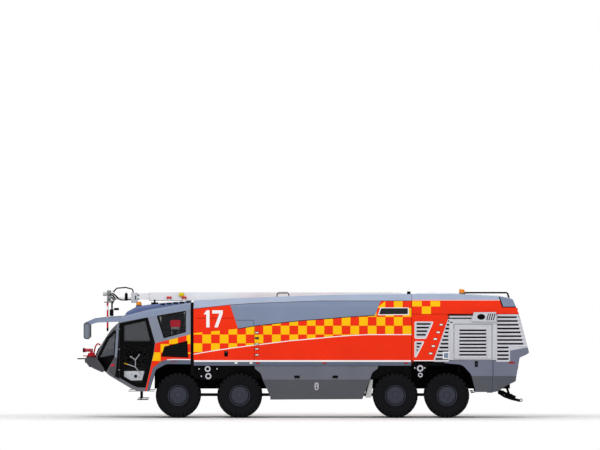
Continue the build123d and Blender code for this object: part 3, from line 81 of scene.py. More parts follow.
def paint(name, code, roughness=0.35, metallic=0.0, shine=0.12, grain=0.0, grain_scale=40.0):
    """A finish whose colour and shine drift a little over a metre, with a fine grain where it is given."""
    material = bpy.data.materials.new(name)
    material.use_nodes = True
    link = material.node_tree.links.new
    shader = material.node_tree.nodes["Principled BSDF"]
    shader.inputs["Metallic"].default_value = metallic
    shader.inputs["Specular IOR Level"].default_value = shine
    place = add_node(material, "TexCoord", {}).outputs["Object"]
    cloud = add_node(material, "TexNoise", {"Vector": place, "Scale": 1.1, "Detail": 6.0, "Roughness": 0.6})
    drift = {"Value": cloud.outputs["Fac"], "From Min": 0.3, "From Max": 0.7}
    shade = add_node(material, "MapRange", {**drift, "To Min": 1.04, "To Max": 0.93})
    gloss = add_node(material, "MapRange", {**drift, "To Min": roughness - 0.05, "To Max": roughness + 0.09})
    tint_inputs = {"Fac": 1.0, "Color1": srgb(code), "Color2": shade.outputs["Result"]}
    tint = add_node(material, "MixRGB", tint_inputs, name="tint", blend_type="MULTIPLY")
    link(tint.outputs["Color"], shader.inputs["Base Color"])
    link(gloss.outputs["Result"], shader.inputs["Roughness"])
    if grain:
        noise = add_node(material, "TexNoise", {"Vector": place, "Scale": grain_scale, "Detail": 3.0})
        bump_inputs = {"Height": noise.outputs["Fac"], "Strength": grain, "Distance": 0.002}
        bump = add_node(material, "Bump", bump_inputs)
        link(bump.outputs["Normal"], shader.inputs["Normal"])
    return material


floor_form = bmesh.new()
bmesh.ops.create_grid(floor_form, x_segments=1, y_segments=1, size=90)
floor_mesh = bpy.data.meshes.new("floor")
floor_form.to_mesh(floor_mesh)
floor_form.free()
floor_reach = (1 / 15, 1 / 9, 0)
floor_paint = paint("studio_floor", "#F4F4F4", roughness=0.9, shine=0.0)
floor_place = add_node(floor_paint, "TexCoord", {}).outputs["Object"]
floor_scaled = add_node(floor_paint, "VectorMath", {0: floor_place, 1: floor_reach}, operation="MULTIPLY")
floor_away = add_node(floor_paint, "VectorMath", {0: floor_scaled.outputs["Vector"]}, operation="LENGTH")
fade_span = {"From Min": 0.45, "From Max": 1.0, "To Min": 1.0, "To Max": 0.0}
fade_inputs = {"Value": floor_away.outputs["Value"], **fade_span}
floor_fade = add_node(floor_paint, "MapRange", fade_inputs, interpolation_type="SMOOTHSTEP")
floor_shader = floor_paint.node_tree.nodes["Principled BSDF"]
floor_paint.node_tree.links.new(floor_fade.outputs["Result"], floor_shader.inputs["Alpha"])
floor_mesh.materials.append(floor_paint)
floor = bpy.data.objects.new("floor", floor_mesh)
collection.objects.link(floor)
for name, place, target, size, power in (
    ("key_light", (-7, -15, 17), (0, 0, 1.0), 14, 1900),
    ("fill_light", (12, -14, 7), (1, 0, 1.5), 10, 420),
    ("back_light", (3, 15, 12), (0, 0, 2), 12, 900),
):
    light = bpy.data.lights.new(name, "AREA")
    light.size = size
    light.energy = power
    lamp = bpy.data.objects.new(name, light)
    lamp.location = place
    lamp.rotation_euler = (Vector(target) - Vector(place)).to_track_quat("-Z", "Y").to_euler()
    collection.objects.link(lamp)
sky_strength = 0.62
world = bpy.data.worlds.new("world")
bpy.context.scene.world = world
world.use_nodes = True
sky = world.node_tree.nodes["Background"]
sky.inputs["Color"].default_value = (1, 1, 1, 1)
sky.inputs["Strength"].default_value = sky_strength
white = add_node(world, "Background", {"Color": (1, 1, 1, 1), "Strength": 1.0})
seen = add_node(world, "LightPath", {}).outputs["Is Camera Ray"]
sky_or_white = {"Fac": seen, 1: sky.outputs["Background"], 2: white.outputs["Background"]}
choose = add_node(world, "MixShader", sky_or_white)
world.node_tree.links.new(choose.outputs["Shader"], world.node_tree.nodes["World Output"].inputs["Surface"])


# Chassis: welded steel rails and axle housings in matt black paint, which takes light only on its edges,
# with coil springs, and steering knuckles and cylinder rods of bare turned steel.
def dress(finish, *names):
    """Gives parts of the model their finish."""
    for name in names:
        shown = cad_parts[name]
        if not shown.material_slots:
            shown.data.materials.append(finish)
        for holder in shown.material_slots:
            holder.link = "OBJECT"
            holder.material = finish


def join(made, body):
    """Puts a new piece in the scene, on a body of the model."""
    collection.objects.link(made)
    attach(made, body)
    return made


def pipe(name, points, radius, material, body="root", resolution=8):
    """A round tube, hose or spring along points."""
    curve = bpy.data.curves.new(name, "CURVE")
    curve.dimensions = "3D"
    curve.bevel_depth = radius
    curve.bevel_resolution = 3
    curve.use_fill_caps = True
    curve.resolution_u = resolution
    line = curve.splines.new("NURBS")
    line.points.add(len(points) - 1)
    for spot, point in zip(line.points, points):
        spot.co = (*point, 1)
    line.order_u = 3
    line.use_endpoint_u = True
    curve.materials.append(material)
    return join(bpy.data.objects.new(name, curve), body)


chassis_black = paint("chassis_black_paint", "#0A0A0C", roughness=0.6, shine=0.04, grain=0.2)
steel = paint("machined_steel", "#8E9096", roughness=0.3, metallic=0.9)
dress(chassis_black, "chassis_frame", "axle_housings", "wheel_housings", "steps", "engine_block")
dress(steel, "lift_rods", "knuckle_1_left", "knuckle_1_right", "knuckle_2_left", "knuckle_2_right")
both_sides = ((-1, "left"), (1, "right"))
axle_places = (-3.81, -1.93, 2.825, 4.4)
hub_height = 0.687
spring_radius, spring_across = 0.098, 0.43
spring_foot, spring_rise = 0.715, 0.15
spring_turns, turn_steps = 4, 10
for axle_number, axle_x in enumerate(axle_places):
    for side, side_name in both_sides:
        points = []
        for step in range(spring_turns * turn_steps + 1):
            angle = math.tau * step / turn_steps
            height = spring_foot + spring_rise * step / (spring_turns * turn_steps)
            across = side * spring_across + spring_radius * math.sin(angle)
            points.append((axle_x + spring_radius * math.cos(angle), across, height))
        pipe(f"spring_{axle_number + 1}_{side_name}", points, 0.011, chassis_black, resolution=2)


# Drive line: tubular shafts with cross joints between the axles, in dark grey paint, a bearing on its
# hanger in the middle, the bell housing on the engine and the damper of the tow bar.
def piece(name, form, material, body="root", smooth=40):
    """A finished object from a bmesh, with edges sharper than smooth degrees kept sharp."""
    mesh = bpy.data.meshes.new(name)
    form.to_mesh(mesh)
    form.free()
    for finish in material if isinstance(material, (list, tuple)) else [material]:
        mesh.materials.append(finish)
    if smooth:
        mesh.shade_smooth()
        mesh.set_sharp_from_angle(angle=math.radians(smooth))
    return join(bpy.data.objects.new(name, mesh), body)


def rod(form, start, end, radius, sides=24, end_radius=None):
    """A round bar between two points."""
    axis = Vector(end) - Vector(start)
    turn = axis.to_track_quat("Z", "Y").to_matrix().to_4x4()
    matrix = Matrix.Translation((Vector(start) + Vector(end)) / 2) @ turn
    far_radius = radius if end_radius is None else end_radius
    bmesh.ops.create_cone(
        form, cap_ends=True, segments=sides, radius1=radius, radius2=far_radius, depth=axis.length,
        matrix=matrix,
    )


def rod_pair(form, start, end, radius, sides=24, where=(-1, 1)):
    """The same round bar on both sides of the truck."""
    for side in where:
        rod(form, (start[0], side * start[1], start[2]), (end[0], side * end[1], end[2]), radius, sides=sides)


def block(form, low, high, bevel=0.0, segments=2):
    """A box between two corners, with its edges rounded where bevel is given."""
    size = [b - a for a, b in zip(low, high)]
    middle = [(a + b) / 2 for a, b in zip(low, high)]
    matrix = Matrix.Translation(middle) @ Matrix.Diagonal((*size, 1))
    made = bmesh.ops.create_cube(form, size=1.0, matrix=matrix)
    if bevel:
        edges = list({edge for corner in made["verts"] for edge in corner.link_edges})
        bmesh.ops.bevel(
            form, geom=edges, offset=bevel, affect="EDGES", segments=segments, profile=0.5, material=-1,
        )


def block_pair(form, x, across, z, bevel=0.0, segments=2, where=(-1, 1)):
    """The same box on both sides: its span in x, its middle and half width across, and its span in height."""
    middle, half = across
    for side in where:
        block(form, (x[0], side * middle - half, z[0]), (x[1], side * middle + half, z[1]), bevel, segments)


fitting_grey = paint("dark_grey_fittings", "#34363E", roughness=0.5)
shaft_spans = ((-3.645, -2.095), (-1.765, 0.40), (0.50, 2.66), (2.99, 4.235))
cross_reach, cross_radius = 0.062, 0.024
shafts = bmesh.new()
for start, end in shaft_spans:
    rod(shafts, (start + 0.06, 0.0, hub_height), (end - 0.06, 0.0, hub_height), 0.045)
    for x, way in ((start, 1), (end, -1)):
        joint_x = x + 0.07 * way
        rod(shafts, (x - 0.01 * way, 0.0, hub_height), (x + 0.05 * way, 0.0, hub_height), 0.075)
        across_pin = (joint_x, -cross_reach, hub_height), (joint_x, cross_reach, hub_height)
        upright_pin = (joint_x, 0.0, hub_height - cross_reach), (joint_x, 0.0, hub_height + cross_reach)
        for pin_start, pin_end in (across_pin, upright_pin):
            rod(shafts, pin_start, pin_end, cross_radius, sides=16)
piece("prop_shafts", shafts, fitting_grey)
casings = bmesh.new()
block(casings, (0.39, -0.13, 0.60), (0.51, 0.13, 0.80), bevel=0.02)
block_pair(casings, (0.42, 0.48), (0.11, 0.012), (0.78, 1.19), bevel=0.004)
rod(casings, (4.25, 0.0, 1.43), (4.665, 0.0, 1.43), 0.26, sides=40)
rod(casings, (6.02, 0.0, 0.80), (6.52, 0.0, 0.60), 0.047)
rod(casings, (6.36, 0.0, 0.664), (6.41, 0.0, 0.644), 0.06)
rod(casings, (6.10, 0.0, 0.768), (6.15, 0.0, 0.748), 0.06)
piece("shaft_bearing_bell_housing_and_damper", casings, chassis_black)


# Tyres: wide all-terrain tyres, a carcass of revolution with slanted shoulder lugs that wrap onto the
# sidewall. Moulded rubber: a nearly black, dull finish with a fine grain.
def spun(form, rows, steps, foot=(0.0, 0.0, 0.0), axis="Y", closed=False, capped=False):
    """A line of points, each a radius and a reach along an axis, turned round that axis through foot."""
    out, along = {"X": ((0, 1, 0), (1, 0, 0)), "Y": ((0, 0, 1), (0, 1, 0)), "Z": ((1, 0, 0), (0, 0, 1))}[axis]
    foot, out, along = Vector(foot), Vector(out), Vector(along)
    kept = set(form.verts)
    spots = [form.verts.new(foot + radius * out + reach * along) for radius, reach in rows]
    following = spots[1:] + spots[:1] if closed else spots[1:]
    edges = [form.edges.new(pair) for pair in zip(spots, following)]
    bmesh.ops.spin(
        form, geom=spots + edges, cent=foot, axis=along, angle=math.tau, steps=steps, use_merge=True,
    )
    fresh = [corner for corner in form.verts if corner not in kept]
    bmesh.ops.remove_doubles(form, verts=fresh, dist=1e-5)
    if capped:
        rims = [edge for edge in form.edges if edge.is_boundary and edge.verts[0] not in kept]
        bmesh.ops.holes_fill(form, edges=rims, sides=0)
    bmesh.ops.recalc_face_normals(form, faces=form.faces)


tyre_rubber = paint("tyre_rubber", "#141417", roughness=0.8, shine=0.08, grain=0.25, grain_scale=120)
carcass_rows = (
    (0.318, 0.232), (0.345, 0.262), (0.372, 0.266), (0.380, 0.274), (0.395, 0.276), (0.404, 0.270),
    (0.450, 0.286), (0.505, 0.292), (0.512, 0.297), (0.524, 0.297), (0.531, 0.291), (0.575, 0.287),
    (0.615, 0.276), (0.640, 0.250), (0.647, 0.180), (0.650, 0.0),
)
# Along one lug from the middle of the tread to the sidewall: distance from the middle, outer radius,
# inner radius, half length round the tyre, shift round the tyre in degrees
lug_rows = (
    (0.012, 0.686, 0.630, 0.026, 0.0),
    (0.090, 0.687, 0.630, 0.030, 1.2),
    (0.190, 0.686, 0.630, 0.036, 3.0),
    (0.262, 0.681, 0.620, 0.042, 4.4),
    (0.287, 0.668, 0.600, 0.043, 4.9),
    (0.2985, 0.635, 0.575, 0.041, 5.0),
    (0.2995, 0.590, 0.560, 0.036, 5.0),
    (0.2950, 0.548, 0.544, 0.026, 5.0),
)
lug_pairs = 28
sidewall_row = 5
tyre_form = bmesh.new()
spun(tyre_form, carcass_rows + tuple((r, -y) for r, y in reversed(carcass_rows[:-1])), 84)
for side in (-1, 1):
    for number in range(lug_pairs):
        base = math.tau * (number + side * 0.25) / lug_pairs
        rings = []
        for row, (reach, outer, inner, half, shift) in enumerate(lug_rows):
            sunk = reach - (0.022 if row >= sidewall_row else 0.004)
            ring_corners = []
            section = ((outer, reach, -1), (outer, reach, 1), (inner, sunk, 1), (inner, sunk, -1))
            for radius, out, way in section:
                angle = base + math.radians(shift) + way * half / radius
                spot = (radius * math.sin(angle), side * out, radius * math.cos(angle))
                ring_corners.append(tyre_form.verts.new(spot))
            rings.append(ring_corners)
        for one, two in zip(rings, rings[1:]):
            for i in range(4):
                tyre_form.faces.new((one[i], one[(i + 1) % 4], two[(i + 1) % 4], two[i]))
        tyre_form.faces.new(reversed(rings[0]))
        tyre_form.faces.new(rings[-1])
bmesh.ops.recalc_face_normals(tyre_form, faces=tyre_form.faces)
tyre_mesh = bpy.data.meshes.new("tyre_template")
tyre_form.to_mesh(tyre_mesh)
tyre_form.free()

# Wheels: a pressed steel rim with a flush hub disc, its ring of nuts and the reduction hub's cap, in satin
# dark blue-grey enamel. The well behind the flange gets painted shade in black, so that it reads as a dark
# ring.
wheel_paint = paint("dark_blue_grey_wheel_paint", "#3B3D49", roughness=0.5)
well_painted_shade = paint("wheel_well_painted_shade", "#08080A", roughness=0.7, shine=0.05)
well_span = (0.262, 0.290)
wheel_across = 1.18
rim_form = bmesh.new()
spun(
    rim_form,
    (
        (0.305, -0.235), (0.317, -0.225), (0.317, 0.232), (0.306, 0.238), (0.288, 0.226), (0.284, 0.205),
        (0.272, 0.212), (0.262, 0.221), (0.235, 0.225), (0.170, 0.227), (0.165, 0.232), (0.130, 0.234),
        (0.120, 0.222), (0.085, 0.222), (0.078, 0.236), (0.0, 0.240),
    ),
    64,
)
# Painted shade: the faces of the well between flange and disc take the black finish
for face in rim_form.faces:
    middle = face.calc_center_median()
    face.material_index = 1 if well_span[0] < math.hypot(middle.x, middle.z) < well_span[1] else 0
spun(rim_form, ((0.305, -0.235), (0.262, -0.215), (0.255, 0.090), (0.075, 0.090)), 48)
for count, radius, reach, rise, size in ((20, 0.212, 0.224, 0.022, 0.013), (10, 0.102, 0.220, 0.012, 0.009)):
    for number in range(count):
        angle = math.tau * number / count
        x, z = radius * math.sin(angle), radius * math.cos(angle)
        rod(rim_form, (x, reach, z), (x, reach + rise, z), size, sides=6)
for start, end in (((0.252, 0.215, 0.0), (0.268, 0.250, 0.0)), ((0.0, 0.215, 0.29), (0.0, 0.246, 0.29))):
    rod(rim_form, start, end, 0.007, sides=8)
bmesh.ops.recalc_face_normals(rim_form, faces=rim_form.faces)
rim_mesh = bpy.data.meshes.new("rim_template")
rim_form.to_mesh(rim_mesh)
rim_form.free()
for number, axle_x in enumerate(axle_places):
    for side, side_name in both_sides:
        label = f"{number + 1}_{side_name}"
        place = Matrix.Translation((axle_x, side * wheel_across, hub_height))
        turn = Matrix.Rotation(math.pi if side < 0 else 0.0, 4, "Z")
        for kind, template, finishes, slot in (
            ("tyre", tyre_mesh, [tyre_rubber], "tyre"),
            ("rim", rim_mesh, [wheel_paint, well_painted_shade], "wheel_grey"),
        ):
            form = bmesh.new()
            form.from_mesh(template)
            bmesh.ops.transform(form, matrix=place @ turn, verts=form.verts)
            made = piece(
                f"dressed_{kind}_{label}", form, finishes, body=f"wheel_{label}", smooth=35,
            )
            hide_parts(f"{kind}_{label}")
for template in (tyre_mesh, rim_mesh):
    bpy.data.meshes.remove(template)

# Engine: covers along the cast block, ribs on its sides and the cooler behind it, in rough cast-iron grey,
# and the exhaust pipes up to their outlets, steel stained brown by the heat.
engine_trim = bmesh.new()
for number in range(5):
    cover_x = 4.80 + 0.22 * number
    block(engine_trim, (cover_x, -0.26, 2.33), (cover_x + 0.18, 0.26, 2.385), bevel=0.02)
    rib_x = 4.75 + 0.25 * number
    block_pair(engine_trim, (rib_x, rib_x + 0.05), (0.487, 0.012), (1.35, 1.85), bevel=0.008)
rod_pair(engine_trim, (5.72, 0.50, 1.60), (5.72, 0.58, 1.60), 0.07)
block(engine_trim, (6.13, -0.95, 1.82), (6.23, 0.95, 2.90), bevel=0.02)
rod_pair(engine_trim, (6.04, 0.25, 2.2), (6.14, 0.35, 2.2), 0.045)
engine_iron = paint("engine_grey_iron", "#26282C", roughness=0.6)
piece("engine_covers_and_cooler", engine_trim, engine_iron)
exhaust_metal = paint("heat_stained_steel", "#4B3D35", roughness=0.55, metallic=0.4)
exhaust_route = (
    (4.80, 0.53, 2.05), (5.30, 0.54, 2.07), (5.45, 0.62, 2.25), (5.45, 0.85, 2.75), (5.449, 1.10, 3.08),
    (5.449, 1.43, 3.09),
)
for side, side_name in both_sides:
    pipe(f"exhaust_pipe_{side_name}", [(x, side * y, z) for x, y, z in exhaust_route], 0.05, exhaust_metal)


# Cab shell: moulded panels in satin grey over a welded frame, with a roof lacquered light blue-grey. The
# raised middle of the roof is a darker blue-grey, and the bumper a dull grained plastic.
def past(material, axis, level, way="GREATER_THAN", size_only=False):
    """A 0 or 1 for the points past a level along an axis of the object, or for its size alone."""
    place = add_node(material, "TexCoord", {}).outputs["Object"]
    reach = add_node(material, "SeparateXYZ", {"Vector": place}).outputs[axis]
    if size_only:
        reach = add_node(material, "Math", {0: reach}, operation="ABSOLUTE").outputs["Value"]
    return add_node(material, "Math", {0: reach, 1: level}, operation=way).outputs["Value"]


def recolour(material, share, other):
    """Mixes another colour into a finish, by a share from 0 to 1."""
    tint = material.node_tree.nodes["tint"].inputs["Color1"]
    first = tint.links[0].from_socket if tint.links else list(tint.default_value)
    blend = add_node(material, "MixRGB", {"Fac": share, "Color1": first, "Color2": srgb(other)})
    material.node_tree.links.new(blend.outputs["Color"], tint)


trim_grey = paint("satin_grey_paint", "#6A6B72", roughness=0.45)
dome_paint = paint("blue_grey_roof_paint", "#8793AB")
recolour(dome_paint, past(dome_paint, "Y", 0.825, way="LESS_THAN", size_only=True), "#66739C")
bumper_grey = paint("bumper_grey_plastic", "#4B4B51", roughness=0.5)
dress(trim_grey, "cab_shell")
dress(dome_paint, "cab_roof")
dress(bumper_grey, "bumper")


# Cab glass: laminated glass with a grey tint. The rear windows are nearly black, the windscreen paler, and
# the lower half of each door window is the clearest, as the grab bars behind it show.
def two_tone(name, upper, lower, break_at, roughness=0.45, axis="Z", covers=None):
    """A finish that changes colour at a place along an axis, and its cover too where covers are given."""
    material = paint(name, lower, roughness)
    above = past(material, axis, break_at)
    recolour(material, above, upper)
    if covers:
        shader = material.node_tree.nodes["Principled BSDF"]
        cover = add_node(material, "MapRange", {"Value": above, "To Min": covers[1], "To Max": covers[0]})
        material.node_tree.links.new(cover.outputs["Result"], shader.inputs["Alpha"])
        shader.inputs["Specular IOR Level"].default_value = 0.5
    return material


glass_roughness = 0.03
glass = two_tone(
    "tinted_cab_glass", "#14171C", "#555A62", -5.0, glass_roughness, axis="X", covers=(0.35, 0.6),
)
door_glass = two_tone("tinted_door_glass", "#3E4147", "#08090B", 2.29, glass_roughness, covers=(0.62, 0.12))
dress(glass, "cab_glass")
dress(door_glass, "cab_door_glass_left", "cab_door_glass_right")

# Cab front: pillars ahead of the doors in grey lacquer, and the dark foot and frame of each corner window,
# all laid on the cab's slanted skin, which turns in from the sides at the doors' front edge.
nose_start = -5.6
nose_slope = 0.64 / 0.727
nose_out_x, nose_out_y = -0.661, 0.751
body_half = 1.5
film_thickness = 0.003


def nose_point(x, z, side, proud):
    """A point of the cab's slanted side skin, standing proud of it."""
    half = body_half - max(0.0, nose_start - x) * nose_slope
    if x > nose_start:
        return (x, side * (half + proud), z)
    return (x + nose_out_x * proud, side * (half + nose_out_y * proud), z)


def slab(form, front, back):
    """A closed slab between two outlines with as many points each."""
    face = form.faces.new([form.verts.new(point) for point in front])
    grown = bmesh.ops.extrude_face_region(form, geom=[face])["geom"]
    for corner in [part for part in grown if isinstance(part, bmesh.types.BMVert)]:
        nearest = min(range(len(front)), key=lambda i: (corner.co - Vector(front[i])).length)
        corner.co = back[nearest]
    bmesh.ops.recalc_face_normals(form, faces=form.faces)


def on_nose(name, outline, material, proud):
    """A thin piece on both slanted skins of the cab."""
    form = bmesh.new()
    for side in (-1, 1):
        outer = [nose_point(x, z, side, proud) for x, z in outline]
        slab(form, outer, [nose_point(x, z, side, proud - film_thickness) for x, z in outline])
    return piece(name, form, material, smooth=0)


def seal(form, points, radius):
    """A round rubber seal along a closed line of points."""
    for start, end in zip(points, points[1:] + points[:1]):
        rod(form, start, end, radius, sides=8)


pillar_grey = paint("pillar_grey_paint", "#838A9A", roughness=0.4)
pillar_foot_grey = paint("dark_pillar_foot", "#515257", roughness=0.5)
black_trim = paint("black_satin_plastic", "#070708", roughness=0.45, shine=0.05)
mark_red = paint("red_corner_mark", "#C4213A", roughness=0.4)
rubber = paint("black_rubber", "#0B0B0D", roughness=0.6, shine=0.05)
pillar_rows = ((-5.684, 2.83), (-5.612, 2.88), (-5.642, 2.3), (-5.674, 1.845), (-5.742, 1.845))
pillar_foot_rows = ((-5.742, 1.845), (-5.674, 1.845), (-5.70, 1.5), (-5.744, 1.243), (-5.94, 1.427))
door_edge_rows = (
    (-5.612, 2.88), (-5.601, 2.88), (-5.601, 1.19), (-5.70, 1.25), (-5.744, 1.243), (-5.70, 1.5),
    (-5.674, 1.845), (-5.642, 2.3),
)
mark_rows = ((-5.875, 1.56), (-5.745, 1.595), (-5.745, 1.655), (-5.86, 1.63))
window_foot_rows = ((-6.222, 1.835), (-5.762, 1.935), (-5.766, 1.85), (-5.99, 1.462), (-6.225, 1.7))
window_frame_rows = (
    (-5.714, 2.655), (-5.956, 2.424), (-6.074, 2.194), (-6.23, 1.882), (-6.247, 1.695), (-5.998, 1.433),
    (-6.028, 1.39), (-6.292, 1.682), (-6.272, 1.895), (-6.114, 2.215), (-5.992, 2.455), (-5.74, 2.70),
)
on_nose("door_pillars", pillar_rows, pillar_grey, 0.004)
on_nose("pillar_feet", pillar_foot_rows, pillar_foot_grey, 0.0045)
on_nose("door_front_edges", door_edge_rows, black_trim, 0.003)
on_nose("corner_marks", mark_rows, mark_red, 0.008)
on_nose("corner_window_foot", window_foot_rows, black_trim, -0.012)
on_nose("corner_window_frames", window_frame_rows, black_trim, 0.003)
corner_window_rows = (
    (-5.714, 2.64), (-5.946, 2.416), (-6.062, 2.19), (-6.218, 1.879), (-6.235, 1.7), (-5.996, 1.445),
    (-5.768, 1.85),
)
rear_window_rows = ((-4.45, 3.11), (-3.58, 3.262), (-3.59, 2.63), (-4.24, 2.45))
for name, rows in (("corner_window_seals", corner_window_rows), ("rear_window_seals", rear_window_rows)):
    form = bmesh.new()
    for side in (-1, 1):
        seal(form, [nose_point(x, z, side, -0.004) for x, z in rows], 0.016)
    piece(name, form, rubber)

# Windscreen: an extruded black rubber seal round the glass and two wipers parked at its foot.
# The glass bends back in three flats from the bumper to the roof.
screen_rows = ((1.918, -6.327), (2.187, -6.181), (2.638, -5.897), (2.916, -5.626))
screen_foot, screen_head = 1.96, 2.835
seal_steps = 6
wiper_steps = 5


def along(rows, at):
    """The second measure of a line of points where the first one is at a level, carried on past its ends."""
    for (a0, b0), (a1, b1) in zip(rows, rows[1:]):
        if at <= a1 or (a1, b1) == rows[-1]:
            return b0 + (b1 - b0) * (at - a0) / (a1 - a0)


screen_corners = ((-0.8, screen_foot), (-1.12, screen_head), (1.12, screen_head), (0.8, screen_foot))
form = bmesh.new()
seal_points = []
for (y0, z0), (y1, z1) in zip(screen_corners, screen_corners[1:] + screen_corners[:1]):
    for step in range(seal_steps):
        height = z0 + (z1 - z0) * step / seal_steps
        seal_points.append((along(screen_rows, height) + 0.01, y0 + (y1 - y0) * step / seal_steps, height))
seal(form, seal_points, 0.018)
for side in (-1, 1):
    foot_x = along(screen_rows, 1.93) - 0.01
    arm_end = (along(screen_rows, 2.10) - 0.03, side * 0.56, 2.10)
    rod(form, (foot_x, side * 0.16, 1.93), arm_end, 0.012, sides=8)
    rod(form, (foot_x + 0.05, side * 0.16, 1.93), (foot_x - 0.015, side * 0.16, 1.93), 0.024, sides=12)
    blade = []
    for step in range(wiper_steps + 1):
        height = 2.0 + 0.035 * step
        blade.append((along(screen_rows, height) - 0.012, side * (0.22 + 0.12 * step), height))
    for start, end in zip(blade, blade[1:]):
        rod(form, start, end, 0.009, sides=6)
piece("windscreen_seal_and_wipers", form, rubber)


# Cab doors: aluminium frames in black lacquer, each with a bright cast grab bar and its yellow sleeve behind
# the lower glass, a black handle, rubber seals round both panes and a bright step plate inside.
def plate(form, outline, near, far):
    """A plate with an outline (x, z), between two distances across the truck."""
    slab(form, [(x, near, z) for x, z in outline], [(x, far, z) for x, z in outline])


silver = paint("silver_lacquer", "#CDCDD5", roughness=0.35, metallic=0.25)
yellow = paint("gloss_yellow_film", "#FFC000", roughness=0.4)
dress(black_trim, "cab_door_left", "cab_door_right")
bar_y = 1.428
bar_fork, bar_knee = (-5.117, 1.772), (-5.117, 1.558)
bar_top, bar_front_top = (-5.254, 1.87), (-5.001, 1.928)
bar_sleeve_end, bar_foot = (-5.35, 1.635), (-4.962, 1.363)
grab_bars = (
    (bar_top, bar_fork), (bar_front_top, bar_fork), (bar_fork, bar_knee), (bar_sleeve_end, bar_knee),
    (bar_knee, bar_foot),
)
upper_pane = ((-5.475, 2.835), (-4.8, 2.978), (-4.64, 2.33), (-5.475, 2.33))
lower_pane = (
    (-5.475, 2.255), (-4.645, 2.255), (-4.69, 1.949), (-4.88, 1.07), (-5.058, 1.055), (-5.235, 1.12),
    (-5.475, 1.26),
)
for side, side_name in both_sides:
    body = f"cab_door_{side_name}"
    here = (side,)
    form = bmesh.new()
    for (x0, z0), (x1, z1) in grab_bars:
        rod_pair(form, (x0, bar_y, z0), (x1, bar_y, z1), 0.016, sides=12, where=here)
    for x, z in (bar_top, bar_front_top, bar_foot, bar_knee, bar_fork):
        rod_pair(form, (x, 1.412, z), (x, 1.47, z), 0.022, sides=12, where=here)
    piece(f"door_grab_bars_{side_name}", form, silver, body=body)
    form = bmesh.new()
    rod_pair(form, (-5.556, bar_y, 1.703), (-5.35, bar_y, 1.635), 0.019, sides=12, where=here)
    piece(f"door_grab_sleeve_{side_name}", form, yellow, body=body)
    form = bmesh.new()
    block_pair(form, (-4.86, -4.68), (1.513, 0.013), (2.02, 2.075), bevel=0.008, where=here)
    block_pair(form, (-4.84, -4.66), (1.503, 0.004), (2.0, 2.095), bevel=0.003, where=here)
    piece(f"door_handle_{side_name}", form, black_trim, body=body)
    form = bmesh.new()
    for pane in (upper_pane, lower_pane):
        seal(form, [(x, side * 1.494, z) for x, z in pane], 0.014)
    piece(f"door_window_seals_{side_name}", form, rubber, body=body)
step_rows = ((-5.49, 1.43), (-4.84, 1.433), (-4.913, 1.15), (-5.418, 1.141), (-5.49, 1.2))
form = bmesh.new()
for side in (-1, 1):
    plate(form, step_rows, side * 1.412, side * 1.402)
step_bright = paint("bright_step_plate", "#EEF3FA", roughness=0.4)
piece("door_step_plates", form, step_bright, smooth=0)
form = bmesh.new()
rod_pair(form, (-5.107, 1.40, 1.275), (-5.107, 1.424, 1.275), 0.052)
for x, z in ((-4.99, 1.24), (-5.23, 1.33)):
    rod_pair(form, (x, 1.40, z), (x, 1.418, z), 0.014, sides=12)
piece("door_step_holes", form, black_trim)

# Seats: a moulded pedestal with a stuffed cushion, back and headrest, sewn in three channels and covered
# in a coarse dark cloth, whose weave is drawn a little coarser than the real one so that it shows.
seat_places = ((-5.06, 1.54, -0.48), (-5.06, 1.54, 0.48), (-4.15, 1.71, -0.62), (-4.15, 1.71, 0.62))
roundness = 6
channel_place, channel_width, channel_depth = 0.36, 0.07, 0.05


def cushion(form, middle, size, lean, crown):
    """A stuffed block with crowned faces and rounded sides, leaning back about its middle."""
    made = bmesh.new()
    bmesh.ops.create_cube(made, size=1.0)
    bmesh.ops.subdivide_edges(made, edges=made.edges[:], cuts=7, use_grid_fill=True)
    turn = Matrix.Rotation(lean, 4, "Y")
    for corner in made.verts:
        x, y, z = (2 * c for c in corner.co)
        length = sum(abs(c) ** roundness for c in (x, y, z)) ** (1 / roundness)
        x, y, z = (c / max(length, 1e-6) * max(abs(x), abs(y), abs(z)) for c in (x, y, z))
        swell = 1 + crown * (1 - y * y) * (1 - x * x)
        groove = 1 - channel_depth * math.exp(-((abs(y) - channel_place) / channel_width) ** 2)
        local = Vector((x * size[0] / 2, y * size[1] / 2, z * size[2] / 2 * swell * groove))
        corner.co = Vector(middle) + turn @ local
    shell = bpy.data.meshes.new("cushion")
    made.to_mesh(shell)
    made.free()
    form.from_mesh(shell)
    bpy.data.meshes.remove(shell)


interior = paint("grained_grey_plastic", "#1C1D20", roughness=0.7, grain=0.3, grain_scale=300)
seat_cloth = paint("woven_seat_cloth", "#17181C", roughness=0.9, grain=0.6, grain_scale=500)
dress(interior, "cab_floor", "dashboard")
dress(seat_cloth, "seats")
seat_feet = bmesh.new()
cushions = bmesh.new()
backs = bmesh.new()
for x, z, y in seat_places:
    block(seat_feet, (x - 0.04, y - 0.2, z), (x + 0.3, y + 0.2, z + 0.33), bevel=0.02)
    block(seat_feet, (x + 0.3, y - 0.16, z + 0.33), (x + 0.34, y + 0.16, z + 0.5))
    cushion(cushions, (x + 0.14, y, z + 0.40), (0.46, 0.49, 0.13), math.radians(-3), 0.12)
    cushion(backs, (x + 0.41, y, z + 0.72), (0.10, 0.48, 0.52), math.radians(9), 0.05)
    cushion(backs, (x + 0.475, y, z + 1.06), (0.09, 0.28, 0.16), math.radians(9), 0.05)
piece("seat_pedestals", seat_feet, interior)
seat_cushions = piece("seat_cushions", cushions, seat_cloth)
seat_backs = piece("seat_backs", backs, seat_cloth)
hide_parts("seats")

